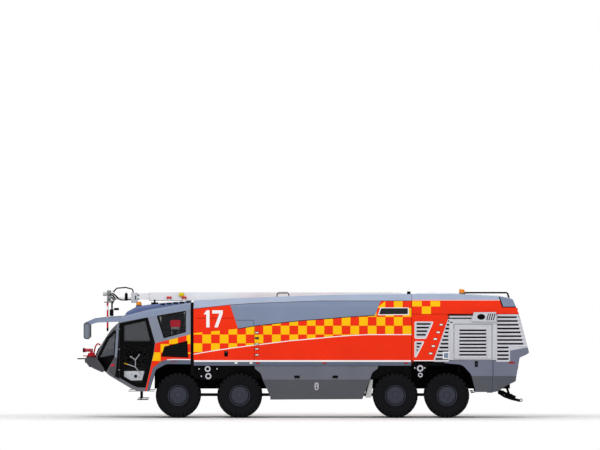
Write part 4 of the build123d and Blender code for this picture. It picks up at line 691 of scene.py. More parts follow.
# Inside the cab: moulded instruments on the dash, a red plastic case on its pale rack behind the rear window,
# the console between the front seats, and a sheet-metal rack for equipment between the rear ones.
form = bmesh.new()
block(form, (-5.78, -0.72, 2.07), (-5.62, -0.24, 2.17), bevel=0.02)
block(form, (-5.80, -0.12, 2.07), (-5.66, 0.36, 2.28), bevel=0.015)
for number in range(4):
    dial_y = -0.6 + 0.08 * number
    rod(form, (-5.62, dial_y, 2.12), (-5.606, dial_y, 2.12), 0.03, sides=16)
piece("instruments", form, black_trim)
form = bmesh.new()
block(form, (-4.05, -1.30, 2.78), (-3.74, -1.12, 2.99), bevel=0.03)
# The case is given a faint painted glow, which carries its red through the dark glass
case_red = "#D2122E"
case_plastic = paint("red_case_plastic_painted_glow", case_red, roughness=0.5)
case_glow_shader = case_plastic.node_tree.nodes["Principled BSDF"]
case_glow_shader.inputs["Emission Color"].default_value = srgb(case_red)
case_glow_shader.inputs["Emission Strength"].default_value = 0.8
piece("red_case", form, case_plastic)
form = bmesh.new()
block(form, (-4.03, -1.31, 2.70), (-3.76, -1.1, 2.78), bevel=0.01)
for x in (-4.0, -3.8):
    rod(form, (x, -1.2, 2.45), (x, -1.2, 2.70), 0.02)
piece("red_case_rack", form, paint("pale_plastic", "#DADADC", roughness=0.5))
form = bmesh.new()
block(form, (-5.55, -0.20, 1.542), (-4.52, 0.20, 2.27), bevel=0.03)
block(form, (-5.20, -0.14, 2.26), (-4.80, 0.14, 2.30), bevel=0.012)
piece("centre_console", form, interior)
rack = bmesh.new()
for z in (1.56, 2.1, 2.5, 2.9, 3.14):
    block(rack, (-4.34, -0.28, z), (-3.62, 0.28, z + 0.03), bevel=0.004)
for x in (-4.34, -3.65):
    block(rack, (x, -0.28, 1.55), (x + 0.03, 0.28, 3.17), bevel=0.004)
block(rack, (-4.31, -0.02, 1.56), (-3.65, 0.02, 3.30))
piece("equipment_rack", rack, black_trim)

# Steps and rubbers: the folding step under each door on its post, the rail beside it, the small pads under
# the tail, and the extruded rubbers in the gap between cab and body and behind each door's front edge.
form = bmesh.new()
block_pair(form, (-5.06, -4.72), (1.33, 0.122), (0.549, 0.566), bevel=0.004)
block_pair(form, (-4.965, -4.915), (1.44, 0.012), (0.56, 0.825), bevel=0.004)
block_pair(form, (-5.33, -4.53), (1.43, 0.03), (0.812, 0.832), bevel=0.004)
block_pair(form, (5.13, 5.23), (1.30, 0.15), (0.765, 0.80), bevel=0.008)
block_pair(form, (5.62, 5.80), (1.30, 0.15), (0.772, 0.80), bevel=0.008)
piece("step_rubbers_and_rails", form, black_trim)
form = bmesh.new()
block_pair(form, (-5.606, -5.55), (1.405, 0.012), (1.32, 2.86))
block_pair(form, (-3.428, -3.337), (1.43, 0.012), (1.30, 3.50))
piece("gap_rubbers", form, rubber)

# Cab livery: light pillars round the rear window, the red corner with its yellow squares and a white line
# under them, in gloss film and paint, and the black intake grille with its pressed slats. They lie on the
# side skin, which cab and body share: upright to 2.85 m, and leaning in above in two flats.
skin_rows = ((0.0, body_half), (2.85, body_half), (3.4, 1.455), (3.79, 1.18))


def on_skin(name, outlines, material, proud=0.002, leaning=True, sides=(-1, 1)):
    """Thin pieces with the given outlines (x, z), standing proud of the skin."""
    form = bmesh.new()
    for side in sides:
        for outline in outlines:
            faces = [form.faces.new([form.verts.new((x, 0, z)) for x, z in outline])]
            for height, _ in skin_rows[1:3] if leaning else ():
                edges = {edge for face in faces for edge in face.edges}
                corners = {corner for face in faces for corner in face.verts}
                cut = bmesh.ops.bisect_plane(
                    form, geom=[*faces, *edges, *corners], plane_co=(0, 0, height), plane_no=(0, 0, 1),
                )
                faces = [part for part in cut["geom"] if isinstance(part, bmesh.types.BMFace)]
            for face in faces:
                face.normal_update()
            for corner in {corner for face in faces for corner in face.verts}:
                half = along(skin_rows, corner.co.z) if leaning else body_half
                corner.co.y = side * (half + proud)
            grown = bmesh.ops.extrude_face_region(form, geom=faces)["geom"]
            for corner in [part for part in grown if isinstance(part, bmesh.types.BMVert)]:
                corner.co.y -= side * proud
    bmesh.ops.recalc_face_normals(form, faces=form.faces)
    return piece(name, form, material, smooth=0)


def oblong(x0, z0, x1, z1):
    """The outline of an upright rectangle between two corners."""
    return [(x0, z0), (x1, z0), (x1, z1), (x0, z1)]


def strip(rows, low, high):
    """The outline of a strip along a line, between two offsets in height."""
    return [(x, z + low) for x, z in rows] + [(x, z + high) for x, z in reversed(rows)]


def side_blocks(
    name, boxes, proud, material, body="root", slot=None, bevel=0.006, sides=(-1, 1), skin=body_half,
):
    """Small blocks on the sides: rows of x and z of the middle, length and height."""
    form = bmesh.new()
    across = (skin + proud / 2, proud / 2)
    for x, z, length, height in boxes:
        spans = ((x - length / 2, x + length / 2), across, (z - height / 2, z + height / 2))
        block_pair(form, *spans, bevel=bevel, where=sides)
    return piece(name, form, material, body=body)


red_code = "#F0300E"
red = paint("gloss_red_paint", red_code, roughness=0.3)
white_film = paint("white_film", "#F2F2F2", roughness=0.4)
lamp_red = paint("red_lamp_lens", "#A8141C", roughness=0.25)
pillar_bands = (
    ((-4.729, 3.088), (-4.456, 3.135), (-4.246, 2.44), (-4.5, 2.285), (-4.511, 2.305)),
    ((-4.246, 2.44), (-3.585, 2.622), (-3.432, 2.66), (-3.432, 2.555), (-4.5, 2.285)),
    ((-3.572, 2.624), (-3.432, 2.66), (-3.432, 3.318), (-3.572, 3.295)),
    ((-4.456, 3.118), (-3.572, 3.271), (-3.572, 3.295), (-4.456, 3.138)),
)
red_corner = (
    (-4.505, 2.284), (-3.432, 2.555), (-3.432, 1.765), (-4.15, 1.785), (-4.344, 1.728), (-4.506, 1.588),
    (-4.622, 1.377), (-4.705, 1.098), (-4.77, 0.822), (-4.815, 0.822), (-4.79, 0.93), (-4.556, 1.949),
)
corner_squares = (
    ((-4.085, 2.26), (-3.817, 2.26), (-3.817, 2.454), (-4.085, 2.387)),
    ((-3.552, 2.26), (-3.432, 2.26), (-3.432, 2.551), (-3.552, 2.521)),
    oblong(-4.344, 2.004, -4.085, 2.26),
    ((-4.603, 1.745), (-4.344, 1.745), (-4.344, 2.004), (-4.545, 2.004)),
    oblong(-3.552, 1.96, -3.432, 2.004),
)
lip_rows = ((-4.156, 1.784), (-3.95, 1.80), (-3.432, 1.792))
vent_outline = ((-4.228, 2.181), (-3.527, 2.358), (-3.5, 1.845), (-4.33, 1.876))
on_skin("cab_pillars", pillar_bands, pillar_grey, leaning=False)
on_skin("cab_red_corner", [red_corner], red, leaning=False)
on_skin("cab_checks", corner_squares, yellow, proud=0.004, leaning=False)
on_skin("cab_lip_line", [strip(lip_rows, -0.026, 0.004)], white_film, proud=0.005, leaning=False)
on_skin("cab_vent_frame", [vent_outline], black_trim, proud=0.008, leaning=False)
form = bmesh.new()
for number in range(9):
    height = 1.9 + 0.048 * number
    front = -4.288 + 0.334 * (height - 1.876)
    rear = -3.538 - 0.052 * (height - 1.845)
    if height > 2.19:
        front = -4.108 + 3.96 * (height - 2.181)
    block_pair(form, (front, rear), (1.508, 0.008), (height, height + 0.012))
piece("cab_vent_slats", form, paint("dark_grille", "#1C1C20", roughness=0.5), smooth=0)
sill_half = 1.512
cab_rear_lamps = [(-4.0, 1.715, 0.06, 0.03), (-3.88, 1.715, 0.06, 0.03)]
side_blocks("cab_rear_lamps", cab_rear_lamps, 0.008, lamp_red, slot="lamp_lens", bevel=0.004, skin=sill_half)


# Tank body: welded plate over a black frame, lacquered gloss red, with a grey roof cap and sills of folded
# plate. The yellow squares and white lines are film, the upper side a blue-grey panel with black edges.
panel_grey = paint("blue_grey_paint", "#7E8AA3", roughness=0.35)
roof_code = "#A6B2C8"
dress(two_tone("red_paint_over_black_frame", red_code, "#131316", 1.61, roughness=0.3), "tank_body")
dress(paint("light_blue_grey_paint", roof_code, roughness=0.35), "roof_cap")
dress(paint("dark_blue_grey_paint", "#5E6678", roughness=0.4), "sills")
body_start, body_end = -3.336, 3.314
panel_low = ((-1.978, 2.727), (-1.487, 2.809), (-0.087, 2.971), (0.676, 3.026), (1.4, 3.085), (2.201, 3.135))
board_low = (
    (body_start, 1.964), (-2.792, 2.059), (-2.249, 2.141), (-1.731, 2.208), (-0.941, 2.306), (-0.398, 2.373),
    (0.523, 2.455), (0.92, 2.495), (1.438, 2.535), (1.984, 2.562), (body_end, 2.562),
)
cap_line = ((-2.222, 3.462), (-1.49, 3.511), (0.523, 3.584), (2.377, 3.584))
board_high = ((body_start, 2.59), (-1.978, 2.727), *panel_low[1:], (2.377, 3.568), (body_end, 3.568))
roof_joint = ((body_start, 3.341), *cap_line[:-1], (body_end, 3.584))
# The squares stand in rows of one height, and what the two borders leave of each is laid on
square_columns, square_base, square_height = 25, 2.55, 0.2685
square_width = (body_end - body_start) / square_columns
least_height = 0.004
squares = []
for column in range(square_columns):
    x0, x1 = body_start + column * square_width, body_start + (column + 1) * square_width
    tops = [along(board_high, x0), along(board_high, x1)]
    feet = [along(board_low, x0), along(board_low, x1)]
    first_row = math.floor((min(feet) - square_base) / square_height)
    end_row = math.ceil((max(tops) - square_base) / square_height)
    for row in range(first_row, end_row):
        z0, z1 = square_base + row * square_height, square_base + (row + 1) * square_height
        left_foot, left_top = max(z0, feet[0]), min(z1, tops[0])
        right_foot, right_top = max(z0, feet[1]), min(z1, tops[1])
        if (column + row) % 2 or max(left_top - left_foot, right_top - right_foot) < least_height:
            continue
        corners = [(x0, left_foot), (x1, right_foot)]
        if right_top > right_foot:
            corners.append((x1, right_top))
        if left_top > left_foot:
            corners.append((x0, left_top))
        squares.append(corners)
upper_panel = [*panel_low, *((x, z - 0.006) for x, z in reversed(cap_line))]
hatch_lines = [oblong(-2.057, 2.981, -1.493, 2.993), oblong(-1.505, 2.82, -1.493, 2.981)]
sill_band = oblong(-3.32, 1.715, 3.3, 1.765)
on_skin("upper_panel", [upper_panel], panel_grey, proud=0.003)
on_skin("body_checks", squares, yellow)
on_skin("body_check_line", [strip(board_low, -0.028, -0.003)], white_film, proud=0.003)
on_skin("upper_panel_edge", [strip(panel_low, -0.01, 0.01)], black_trim, proud=0.004)
on_skin("roof_joint", [strip(roof_joint, -0.012, -0.001)], black_trim, proud=0.004)
on_skin("sill_line", [sill_band], white_film, proud=0.0145, leaning=False)
on_skin("hatch_line", hatch_lines, black_trim, proud=0.004)
on_skin("body_seam", [oblong(-1.491, 1.77, -1.483, 2.8)], black_trim, proud=0.003)
on_skin("body_seams_upper", [oblong(-3.27, 3.044, -2.11, 3.054)], black_trim, proud=0.0025)

# Number on the front of the body: plain figures cut from white film, read the right way on both sides.
figure_one = ((0.0, 0.34), (0.075, 0.45), (0.155, 0.45), (0.155, 0.0), (0.07, 0.0), (0.07, 0.35))
figure_seven = (
    (0.0, 0.45), (0.28, 0.45), (0.28, 0.37), (0.15, 0.0), (0.06, 0.0), (0.19, 0.365), (0.0, 0.365),
)
figure_scale, figure_foot = 1.16, 2.768
for name, side, places in (("number_left", -1, (-3.03, -2.77)), ("number_right", 1, (-2.45, -2.71))):
    figures = []
    for place, figure in zip(places, (figure_one, figure_seven)):
        figures.append([(place - side * x * figure_scale, figure_foot + z * figure_scale) for x, z in figure])
    on_skin(name, figures, white_film, proud=0.004, sides=(side,))

# Small window at the rear of the body: nearly black glass set in a white seal.
window_seal = ((2.372, 3.375), (3.235, 3.375), (3.235, 3.148), (2.285, 3.138))
window_rows = ((2.393, 3.352), (3.207, 3.352), (3.207, 3.175), (2.323, 3.165))
body_glass = paint("black_body_glass", "#0E1016", roughness=0.08, shine=0.4)
on_skin("body_window_seal", [window_seal], white_film, proud=0.004)
on_skin("body_window", [window_rows], body_glass, proud=0.007)

# Fittings on the tank body: step lamps up the seam in grey plastic rims, the filler's handle on its black
# pad with a steel lock, and the white and red lamps let into the sill.
lamp_white = paint("clear_lamp_lens", "#F3F3EE", roughness=0.2)
lamp_dark = paint("dark_lamp_lens", "#22303A", roughness=0.25)
step_lamp_x, dark_lamp_z = -1.403, 2.44
lit_heights = (2.608, 2.26, 2.11, 1.928)
lamp_rims = [(step_lamp_x, z, 0.128, 0.056) for z in (*lit_heights, dark_lamp_z)]
lit_lamps = [(step_lamp_x, z, 0.1, 0.034) for z in lit_heights]
dark_lamp = (step_lamp_x, dark_lamp_z, 0.1, 0.034)
sill_lamps = [(-2.039, 1.68, 0.085, 0.05), (-1.581, 1.68, 0.085, 0.05)]
sill_markers = [(-1.38, 1.68, 0.11, 0.05), (0.66, 1.68, 0.11, 0.045), (3.15, 1.68, 0.11, 0.045)]
side_blocks("step_lamp_rims", lamp_rims, 0.010, fitting_grey, bevel=0.02)
side_blocks("step_lamps", lit_lamps, 0.016, lamp_white, slot="lamp_lens", bevel=0.012)
side_blocks("step_lamp_dark", [dark_lamp], 0.016, lamp_dark, slot="lamp_lens", bevel=0.012)
side_blocks("filler_handle_pad", [(-2.344, 1.964, 0.11, 0.165)], 0.012, black_trim, bevel=0.012)
side_blocks("filler_handle", [(-2.344, 1.955, 0.05, 0.10)], 0.030, rubber, bevel=0.012)
side_blocks("filler_handle_lock", [(-2.344, 2.015, 0.032, 0.032)], 0.020, steel, bevel=0.004)
side_blocks("sill_lamps", sill_lamps, 0.010, lamp_white, slot="lamp_lens", bevel=0.004, skin=sill_half)
side_blocks("sill_markers", sill_markers, 0.010, lamp_red, slot="lamp_lens", bevel=0.004, skin=sill_half)


# Locker flaps: folded aluminium panels that swing up, grey with painted shade on the lower half below the
# crease, with two finger slots and their lips, an oval lock plate with its keyhole and turn grip, and ribs
# riveted on behind.
def ring(form, x, z, near, far, outer, inner):
    """A flat ring across the truck, between two distances from its middle."""
    section = ((outer, near), (outer, far), (inner, far), (inner, near))
    spun(form, section, 32, foot=(x, 0, z), closed=True)


def oval(x, z, half_length, half_height, sides, stretch=0.0):
    """An oval outline, its upper and lower half drawn apart by twice the stretch."""
    outline = []
    for number in range(sides):
        turn = math.tau * number / sides
        rise = half_height * math.sin(turn) + math.copysign(stretch, math.sin(turn))
        outline.append((x + half_length * math.cos(turn), z + rise))
    return outline


# Painted shade: below 1.174 m the flaps take a darker grey, for the shade under the crease
skirt = two_tone("skirt_grey_painted_shade_below", "#696C77", "#53555B", 1.174)
dress(skirt, "locker_flap_left", "locker_flap_right")
dress(silver, "lockers")
lock_x = 0.419
finger_slots = [(x, 1.257, 0.165, 0.082) for x in (-0.178, 0.99)]
slot_lips = [(x, 1.21, 0.185, 0.014) for x in (-0.178, 0.99)]
for side, side_name in both_sides:
    body = f"locker_flap_{side_name}"
    here = {"body": body, "sides": (side,)}
    side_blocks(f"finger_slots_{side_name}", finger_slots, 0.006, black_trim, bevel=0.004, **here)
    side_blocks(f"slot_lips_{side_name}", slot_lips, 0.014, skirt, bevel=0.005, **here)
    form = bmesh.new()
    plate(form, oval(lock_x, 0.97, 0.061, 0.061, 24, stretch=0.055), side * body_half, side * 1.509)
    piece(f"flap_lock_plate_{side_name}", form, silver, body=body, smooth=0)
    form = bmesh.new()
    for z, inner in ((1.02, 0.020), (0.92, 0.012)):
        ring(form, lock_x, z, side * body_half, side * 1.518, 0.034, inner)
    block_pair(form, (0.411, 0.427), (1.511, 0.007), (0.94, 1.0), where=(side,))
    piece(f"flap_lock_{side_name}", form, fitting_grey, body=body)
    form = bmesh.new()
    for x in (-0.9, 1.72):
        block_pair(form, (x - 0.015, x + 0.015), (1.428, 0.012), (0.66, 1.5), bevel=0.004, where=(side,))
    piece(f"flap_ribs_{side_name}", form, silver, body=body)

# Couplings between the wheels: turned aluminium rings, bright, with black plastic caps screwed in and small
# bolt heads round them.
coupling_spots = ((-2.908, 1.498, 0.088), (-2.887, 1.278, 0.092), (3.583, 1.516, 0.098), (3.589, 1.312, 0.07))
bolt_spots = ((-3.17, 1.50), (-3.10, 1.275), (-2.62, 1.50), (3.42, 1.53), (3.72, 1.53))
rings = bmesh.new()
caps = bmesh.new()
for x, z, radius in coupling_spots:
    for side in (-1, 1):
        ring(rings, x, z, side * 1.484, side * 1.492, radius, radius * 0.62)
        ring(rings, x, z, side * 1.478, side * 1.484, radius * 1.02, radius * 0.55)
    rod_pair(caps, (x, 1.42, z), (x, 1.462, z), radius * 0.6)
    rod_pair(caps, (x, 1.462, z), (x, 1.48, z), radius * 0.22, sides=6)
for x, z in bolt_spots:
    rod_pair(rings, (x, 1.44, z), (x, 1.456, z), 0.022, sides=12)
piece("coupling_rings", rings, silver)
piece("coupling_caps", caps, black_trim)

# Mud flaps behind the lockers: pale grey rubber sheets, moulded with six ribs and bolted on at the top.
flap_outline = ((2.052, 1.168), (2.138, 1.168), (2.089, 0.618), (1.907, 0.618))
form = bmesh.new()
for side in (-1, 1):
    plate(form, flap_outline, side * 1.4335, side * 1.4365)
for number in range(6):
    height = 0.68 + 0.085 * number
    front = 2.052 + (height - 1.168) * 0.2636
    block_pair(form, (front + 0.012, front + 0.085), (1.4375, 0.003), (height, height + 0.012))
piece("mud_flap_faces", form, paint("pale_grey_rubber", "#B9BCBB", roughness=0.7), smooth=0)

# Engine module: red plate under a blue-grey roof, with a pale tail behind the grilles. Squares of yellow
# film, a black seam over the grilles, white rims round the louvred windows and blue-grey roof corners.
module_paint = two_tone("red_paint_under_grey_roof", roof_code, red_code, 3.61, roughness=0.3)
tail_parts = {0: past(module_paint, "X", 5.0), 1: past(module_paint, "Z", 3.168, way="LESS_THAN")}
tail_share = add_node(module_paint, "Math", tail_parts, operation="MULTIPLY").outputs["Value"]
recolour(module_paint, tail_share, "#C4C4CC")
dress(module_paint, "engine_module")
dress(black_trim, "roof_fittings")
module_squares = (
    oblong(3.338, 3.407, 3.632, 3.572), oblong(3.899, 3.407, 4.192, 3.572),
    oblong(3.632, 3.178, 3.912, 3.407),
)
window_outlines = (
    ((3.43, 2.93), (3.97, 2.93), (3.75, 2.44), (3.43, 2.44)),
    ((3.43, 2.33), (3.69, 2.33), (3.455, 1.87), (3.43, 1.87)),
)
module_seam = ((3.335, 3.168), (6.58, 3.168), (6.576, 3.176), (3.335, 3.176))
corner_panel = ((6.02, 3.70), (6.10, 3.694), (6.42, 3.618), (6.505, 3.40), (6.11, 3.40))
corner_edges = (
    ((5.985, 3.705), (6.02, 3.70), (6.115, 3.402), (6.085, 3.378)),
    ((6.085, 3.378), (6.515, 3.378), (6.506, 3.404), (6.115, 3.402)),
)
rim_width = 0.018
window_rims = []
for outline in window_outlines:
    for (x0, z0), (x1, z1) in zip(outline, outline[1:] + outline[:1]):
        length = math.hypot(x1 - x0, z1 - z0)
        out_x, out_z = -(z1 - z0) / length * rim_width, (x1 - x0) / length * rim_width
        window_rims.append([(x0, z0), (x1, z1), (x1 + out_x, z1 + out_z), (x0 + out_x, z0 + out_z)])
on_skin("module_checks", module_squares, yellow)
on_skin("module_seam", [module_seam], black_trim, proud=0.003)
on_skin("louvre_window_rims", window_rims, white_film, proud=0.006, leaning=False)
on_skin("tail_corner_panel", [corner_panel], panel_grey, proud=0.004)
on_skin("tail_corner_edge", corner_edges, black_trim, proud=0.006)
on_skin("module_roof_line", [oblong(3.335, 3.59, 6.03, 3.603)], white_film, proud=0.004)

# Grilles on the module's sides: bright anodised slats over black wire mesh, at the tail, before the engine
# door and in the two windows. The upper slots are plain dark ones.
slot_pitch = 0.116
slot_tops = [3.078 - slot_pitch * number for number in range(12)]
slat_heights = [slot_tops[0] + slot_pitch / 2] + [top - slot_pitch / 2 for top in slot_tops]
half_slat = 0.029
band_edge = ((1.77, 3.99), (3.135, 4.475))
tail_edge = ((2.2, 6.795), (3.135, 6.56))
tail_step_x, tail_step_z = 6.318, 2.11
mesh_outlines = (
    ((4.05, 1.80), (4.465, 1.80), (4.465, 3.10), (4.43, 3.10)),
    ((5.90, 1.80), (6.31, 1.80), (6.31, 2.12), (6.76, 2.21), (6.545, 3.11), (5.90, 3.11)),
    ((3.445, 2.46), (3.745, 2.46), (3.945, 2.91), (3.445, 2.91)),
    ((3.445, 1.89), (3.458, 1.89), (3.668, 2.31), (3.445, 2.31)),
)
dress(silver, "side_grilles")
slats = bmesh.new()
for height in slat_heights:
    tip = tail_step_x if height < tail_step_z else along(tail_edge, height) + 0.045
    span = (height - half_slat, height + half_slat)
    block_pair(slats, (5.905, tip), (body_half, 0.012), span, bevel=0.01)
    front = along(band_edge, height) + 0.01
    if front < 4.40:
        block_pair(slats, (front, 4.46), (body_half, 0.012), span, bevel=0.01)
piece("grille_slats", slats, silver)
form = bmesh.new()
for side in (-1, 1):
    for outline in mesh_outlines:
        plate(form, outline, side * 1.41, side * 1.432)
piece("grille_mesh", form, black_trim, smooth=0)
window_louvres = (
    ((2.87, 2.76, 2.65, 2.54), ((2.44, 3.75), (2.93, 3.97))),
    ((2.27, 2.17, 2.07), ((1.87, 3.455), (2.33, 3.69))),
)
form = bmesh.new()
for heights, edge in window_louvres:
    for height in heights:
        end = along(edge, height + 0.055) - 0.02
        block_pair(form, (3.45, end), (body_half, 0.01), (height + 0.03, height + 0.078), bevel=0.008)
piece("window_slats", form, silver)
front_slots = []
for top in slot_tops[:4]:
    edge = along(band_edge, top)
    front_slots.append(((edge + 4.465) / 2 + 0.012, top, 4.441 - edge, 0.056))
side_blocks("front_upper_slots", front_slots, 0.003, black_trim, bevel=0)
upper_slots = [(4.81, 3.146, 0.76, 0.042), (4.79, 3.047, 0.72, 0.036)]
side_blocks("upper_slots", upper_slots, 0.010, black_trim, bevel=0)


# Engine doors: bright aluminium louvres welded into a frame on hinges, with black mesh behind and a narrow
# black gap round each door.
def bars(form, spans, across, bevel=0.0, where=(-1, 1)):
    """Boxes on the sides, each given by its low and high corner (x, z)."""
    for (x0, z0), (x1, z1) in spans:
        block_pair(form, (x0, x1), across, (z0, z1), bevel=bevel, where=where)


dress(silver, "engine_door_left", "engine_door_right")
opening_bars = (((4.50, 1.772), (4.575, 3.10)), ((5.82, 1.772), (5.885, 2.93)), ((4.50, 2.90), (5.20, 2.945)))
door_bars = (
    ((4.735, 1.84), (4.765, 2.765)), ((5.615, 1.84), (5.645, 2.765)), ((4.765, 2.735), (5.615, 2.765)),
    ((4.765, 1.84), (5.615, 1.87)),
)
gap_bars = (
    ((4.619, 1.797), (4.625, 2.866)), ((5.767, 1.797), (5.773, 2.866)), ((4.619, 2.86), (5.773, 2.866)),
    ((4.619, 1.797), (5.773, 1.803)),
)
louvre_top, louvre_pitch, half_louvre = 2.7305, 0.107, 0.026
form = bmesh.new()
bars(form, opening_bars, (1.503, 0.005), bevel=0.004)
piece("engine_door_frame", form, silver)
for side, side_name in both_sides:
    body = f"engine_door_{side_name}"
    here = (side,)
    form = bmesh.new()
    bars(form, door_bars, (1.504, 0.006), bevel=0.005, where=here)
    for number in range(9):
        height = louvre_top - louvre_pitch * number
        span = (height - half_louvre, height + half_louvre)
        block_pair(form, (4.77, 5.61), (body_half, 0.011), span, bevel=0.009, where=here)
    piece(f"engine_door_slats_{side_name}", form, silver, body=body)
    form = bmesh.new()
    block_pair(form, (4.75, 5.63), (1.452, 0.004), (1.87, 2.74), where=here)
    bars(form, gap_bars, (body_half, 0.0015), where=here)
    piece(f"engine_door_mesh_{side_name}", form, black_trim, body=body, smooth=0)

# Exhaust outlets: an oval mouth and four slanted slots in a bulge of each side, black with soot, and the
# small bright screws that hold the plate.
outlet_face = 1.5895
mouth = oval(5.445, 3.09, 0.122, 0.088, 32)
form = bmesh.new()
rod_pair(form, (5.449, 1.42, 3.09), (5.449, 1.575, 3.09), 0.088, sides=32)
for side in (-1, 1):
    plate(form, mouth, side * outlet_face, side * 1.5915)
    for number in range(4):
        foot = 5.60 + 0.066 * number
        slot_rows = ((foot, 2.985), (foot + 0.03, 2.985), (foot + 0.085, 3.19), (foot + 0.055, 3.19))
        plate(form, slot_rows, side * outlet_face, side * 1.5925)
piece("exhaust_openings", form, black_trim)
form = bmesh.new()
for x, z in ((5.25, 3.2), (5.25, 2.98), (5.87, 3.2), (5.87, 2.97)):
    rod_pair(form, (x, 1.59, z), (x, 1.597, z), 0.011, sides=8)
piece("exhaust_rims", form, silver)

# Fittings on the module: small clear lamps up the red band in grey plastic rims, and a power socket with a
# blue-grey lid in a white frame.
band_lamp_spots = ((4.229, 2.849), (4.134, 2.617), (4.046, 2.413), (3.985, 2.196), (3.903, 1.97))
band_lamps = [(x, z, 0.10, 0.045) for x, z in band_lamp_spots]
band_lamp_rims = [(x, z, 0.118, 0.06) for x, z in band_lamp_spots]
socket_frame, socket_lid = (4.375, 1.912, 0.20, 0.225), (4.375, 1.912, 0.135, 0.15)
side_blocks("band_lamps", band_lamps, 0.012, lamp_white, slot="lamp_lens", bevel=0.01)
side_blocks("band_lamp_rims", band_lamp_rims, 0.007, fitting_grey, bevel=0.012)
side_blocks("socket_frame", [socket_frame], 0.018, white_film, bevel=0.008)
side_blocks("socket_lid", [socket_lid], 0.026, panel_grey, slot="trim_grey", bevel=0.008)

# Rear lower body: folded plate, lighter grey above and darker grey below, with a black latch on its pad, an
# upright seam with a painted highlight along one edge, a black line along the top and a red marker lamp on
# each side.
dress(two_tone("tail_grey_darker_below", "#717587", "#55575F", 1.284), "rear_lower")
seam_half = 1.4995
side_blocks("rear_latch_pad", [(5.299, 1.65, 0.095, 0.177)], 0.010, black_trim, bevel=0.008)
side_blocks("rear_latch", [(5.299, 1.64, 0.036, 0.09)], 0.024, fitting_grey, bevel=0.008)
side_blocks("rear_seam", [(5.809, 1.28, 0.018, 0.93)], 0.002, black_trim, bevel=0, skin=seam_half)
# Painted highlight: a light grey strip along the seam's edge, where it catches light
side_blocks("rear_seam_painted_highlight", [(5.824, 1.28, 0.008, 0.93)], 0.0025, panel_grey, bevel=0, skin=seam_half)
side_blocks("rear_marker", [(6.377, 1.69, 0.177, 0.05)], 0.010, lamp_red, slot="lamp_lens", bevel=0.006)
side_blocks("rear_edge_line", [(5.33, 1.764, 1.98, 0.010)], 0.004, black_trim, bevel=0)

# Rear face: slanted panels with pressed seams and a latch, black mesh behind the slots of the tail, and red
# lamps at the top corners.
tail_top, tail_foot = (3.1, 6.622), (2.3, 6.833)
tail_face = (tail_foot, tail_top)
seam_foot, seam_step, seam_steps = 2.27, 0.0965, 4
form = bmesh.new()
for low, high in ((2.27, 2.276), (2.65, 2.656)):
    face_x = along(tail_face, (low + high) / 2)
    block(form, (face_x - 0.002, -0.98, low), (face_x + 0.004, 0.98, high))
for y in (-0.98, 0.0, 0.98):
    for number in range(seam_steps):
        z0 = seam_foot + seam_step * number
        z1 = z0 + seam_step
        start, end = (along(tail_face, z0) + 0.001, y, z0), (along(tail_face, z1) + 0.001, y, z1)
        rod(form, start, end, 0.004, sides=6)
latch_x = along(tail_face, 2.46)
block_pair(form, (latch_x - 0.002, latch_x + 0.014), (0.09, 0.035), (2.43, 2.49), bevel=0.006)
block(form, (6.50, -0.95, 2.68), (6.52, 0.95, 3.095))
piece("tail_seams_and_mesh", form, black_trim, smooth=0)
form = bmesh.new()
block_pair(form, (6.53, 6.568), (1.1, 0.11), (3.27, 3.35), bevel=0.012)
piece("tail_top_lamps", form, lamp_red)


# Roof boom: white steel box sections, with the grey cast head bolted on. On the head sit a grey cover with
# two stops, the nozzle's cheeks, black valve bodies and pipes, and the lamp with its round lenses.
boom_white = paint("gloss_white_paint", "#F4F4F6", roughness=0.35)
head_grey = paint("light_grey_head_paint", "#C6C9CE", roughness=0.4)
dress(boom_white, "boom_base", "boom_outer", "boom_inner", "boom_head", "lift_barrels")
dress(head_grey, "boom_nozzle")
form = bmesh.new()
block(form, (-5.266, -0.154, 3.498), (-5.058, 0.154, 3.816), bevel=0.018)
piece("boom_head_cover", form, head_grey, body="boom_slide")
cheek_outline = (
    (-6.005, 3.53), (-5.985, 3.505), (-5.885, 3.50), (-5.872, 3.86), (-5.895, 3.885), (-5.985, 3.885),
    (-6.005, 3.86),
)
pin_spots = ((-5.94, 3.77, 0.042), (-5.94, 3.615, 0.032))
cheek_bolts = ((-5.99, 3.86), (-5.89, 3.86), (-5.99, 3.53), (-5.90, 3.52))
cover_bolts = ((-5.235, 3.53), (-5.235, 3.785), (-5.09, 3.53), (-5.09, 3.785))
black = bmesh.new()
grey = bmesh.new()
for side in (-1, 1):
    plate(grey, cheek_outline, side * 0.098, side * 0.110)
for x, z, radius in pin_spots:
    rod_pair(black, (x, 0.11, z), (x, 0.142, z), radius)
    rod_pair(grey, (x, 0.142, z), (x, 0.15, z), radius * 0.6)
for x, z in cheek_bolts:
    rod_pair(black, (x, 0.11, z), (x, 0.118, z), 0.010, sides=6)
for x, z in cover_bolts:
    rod_pair(black, (x, 0.154, z), (x, 0.160, z), 0.011, sides=6)
block_pair(black, (-6.09, -6.0), (0.104, 0.008), (3.508, 3.532), bevel=0.004)
for z in (3.739, 3.617):
    block_pair(black, (-5.066, -5.02), (0.146, 0.011), (z - 0.021, z + 0.021), bevel=0.005)
block_pair(black, (-5.14, -5.11), (0.158, 0.004), (3.60, 3.72), bevel=0.003)
block(black, (-5.458, -0.118, 3.565), (-5.366, 0.118, 3.785), bevel=0.02)
rod(black, (-5.412, 0.0, 3.785), (-5.412, 0.0, 3.815), 0.028)
rod(black, (-5.412, -0.062, 3.67), (-5.412, 0.062, 3.67), 0.03)
rod(black, (-5.85, 0.0, 3.30), (-5.85, 0.0, 3.575), 0.0265)
block(black, (-5.925, -0.058, 3.093), (-5.799, 0.058, 3.309), bevel=0.014)
block(black, (-5.787, -0.032, 3.274), (-5.635, 0.032, 3.346), bevel=0.014)
rod(black, (-5.80, 0.0, 3.29), (-5.775, 0.0, 3.30), 0.012)
rod(black, (-5.795, 0.0, 3.845), (-5.795, 0.0, 3.872), 0.033)
piece("boom_head_valves", black, black_trim, body="boom_slide")
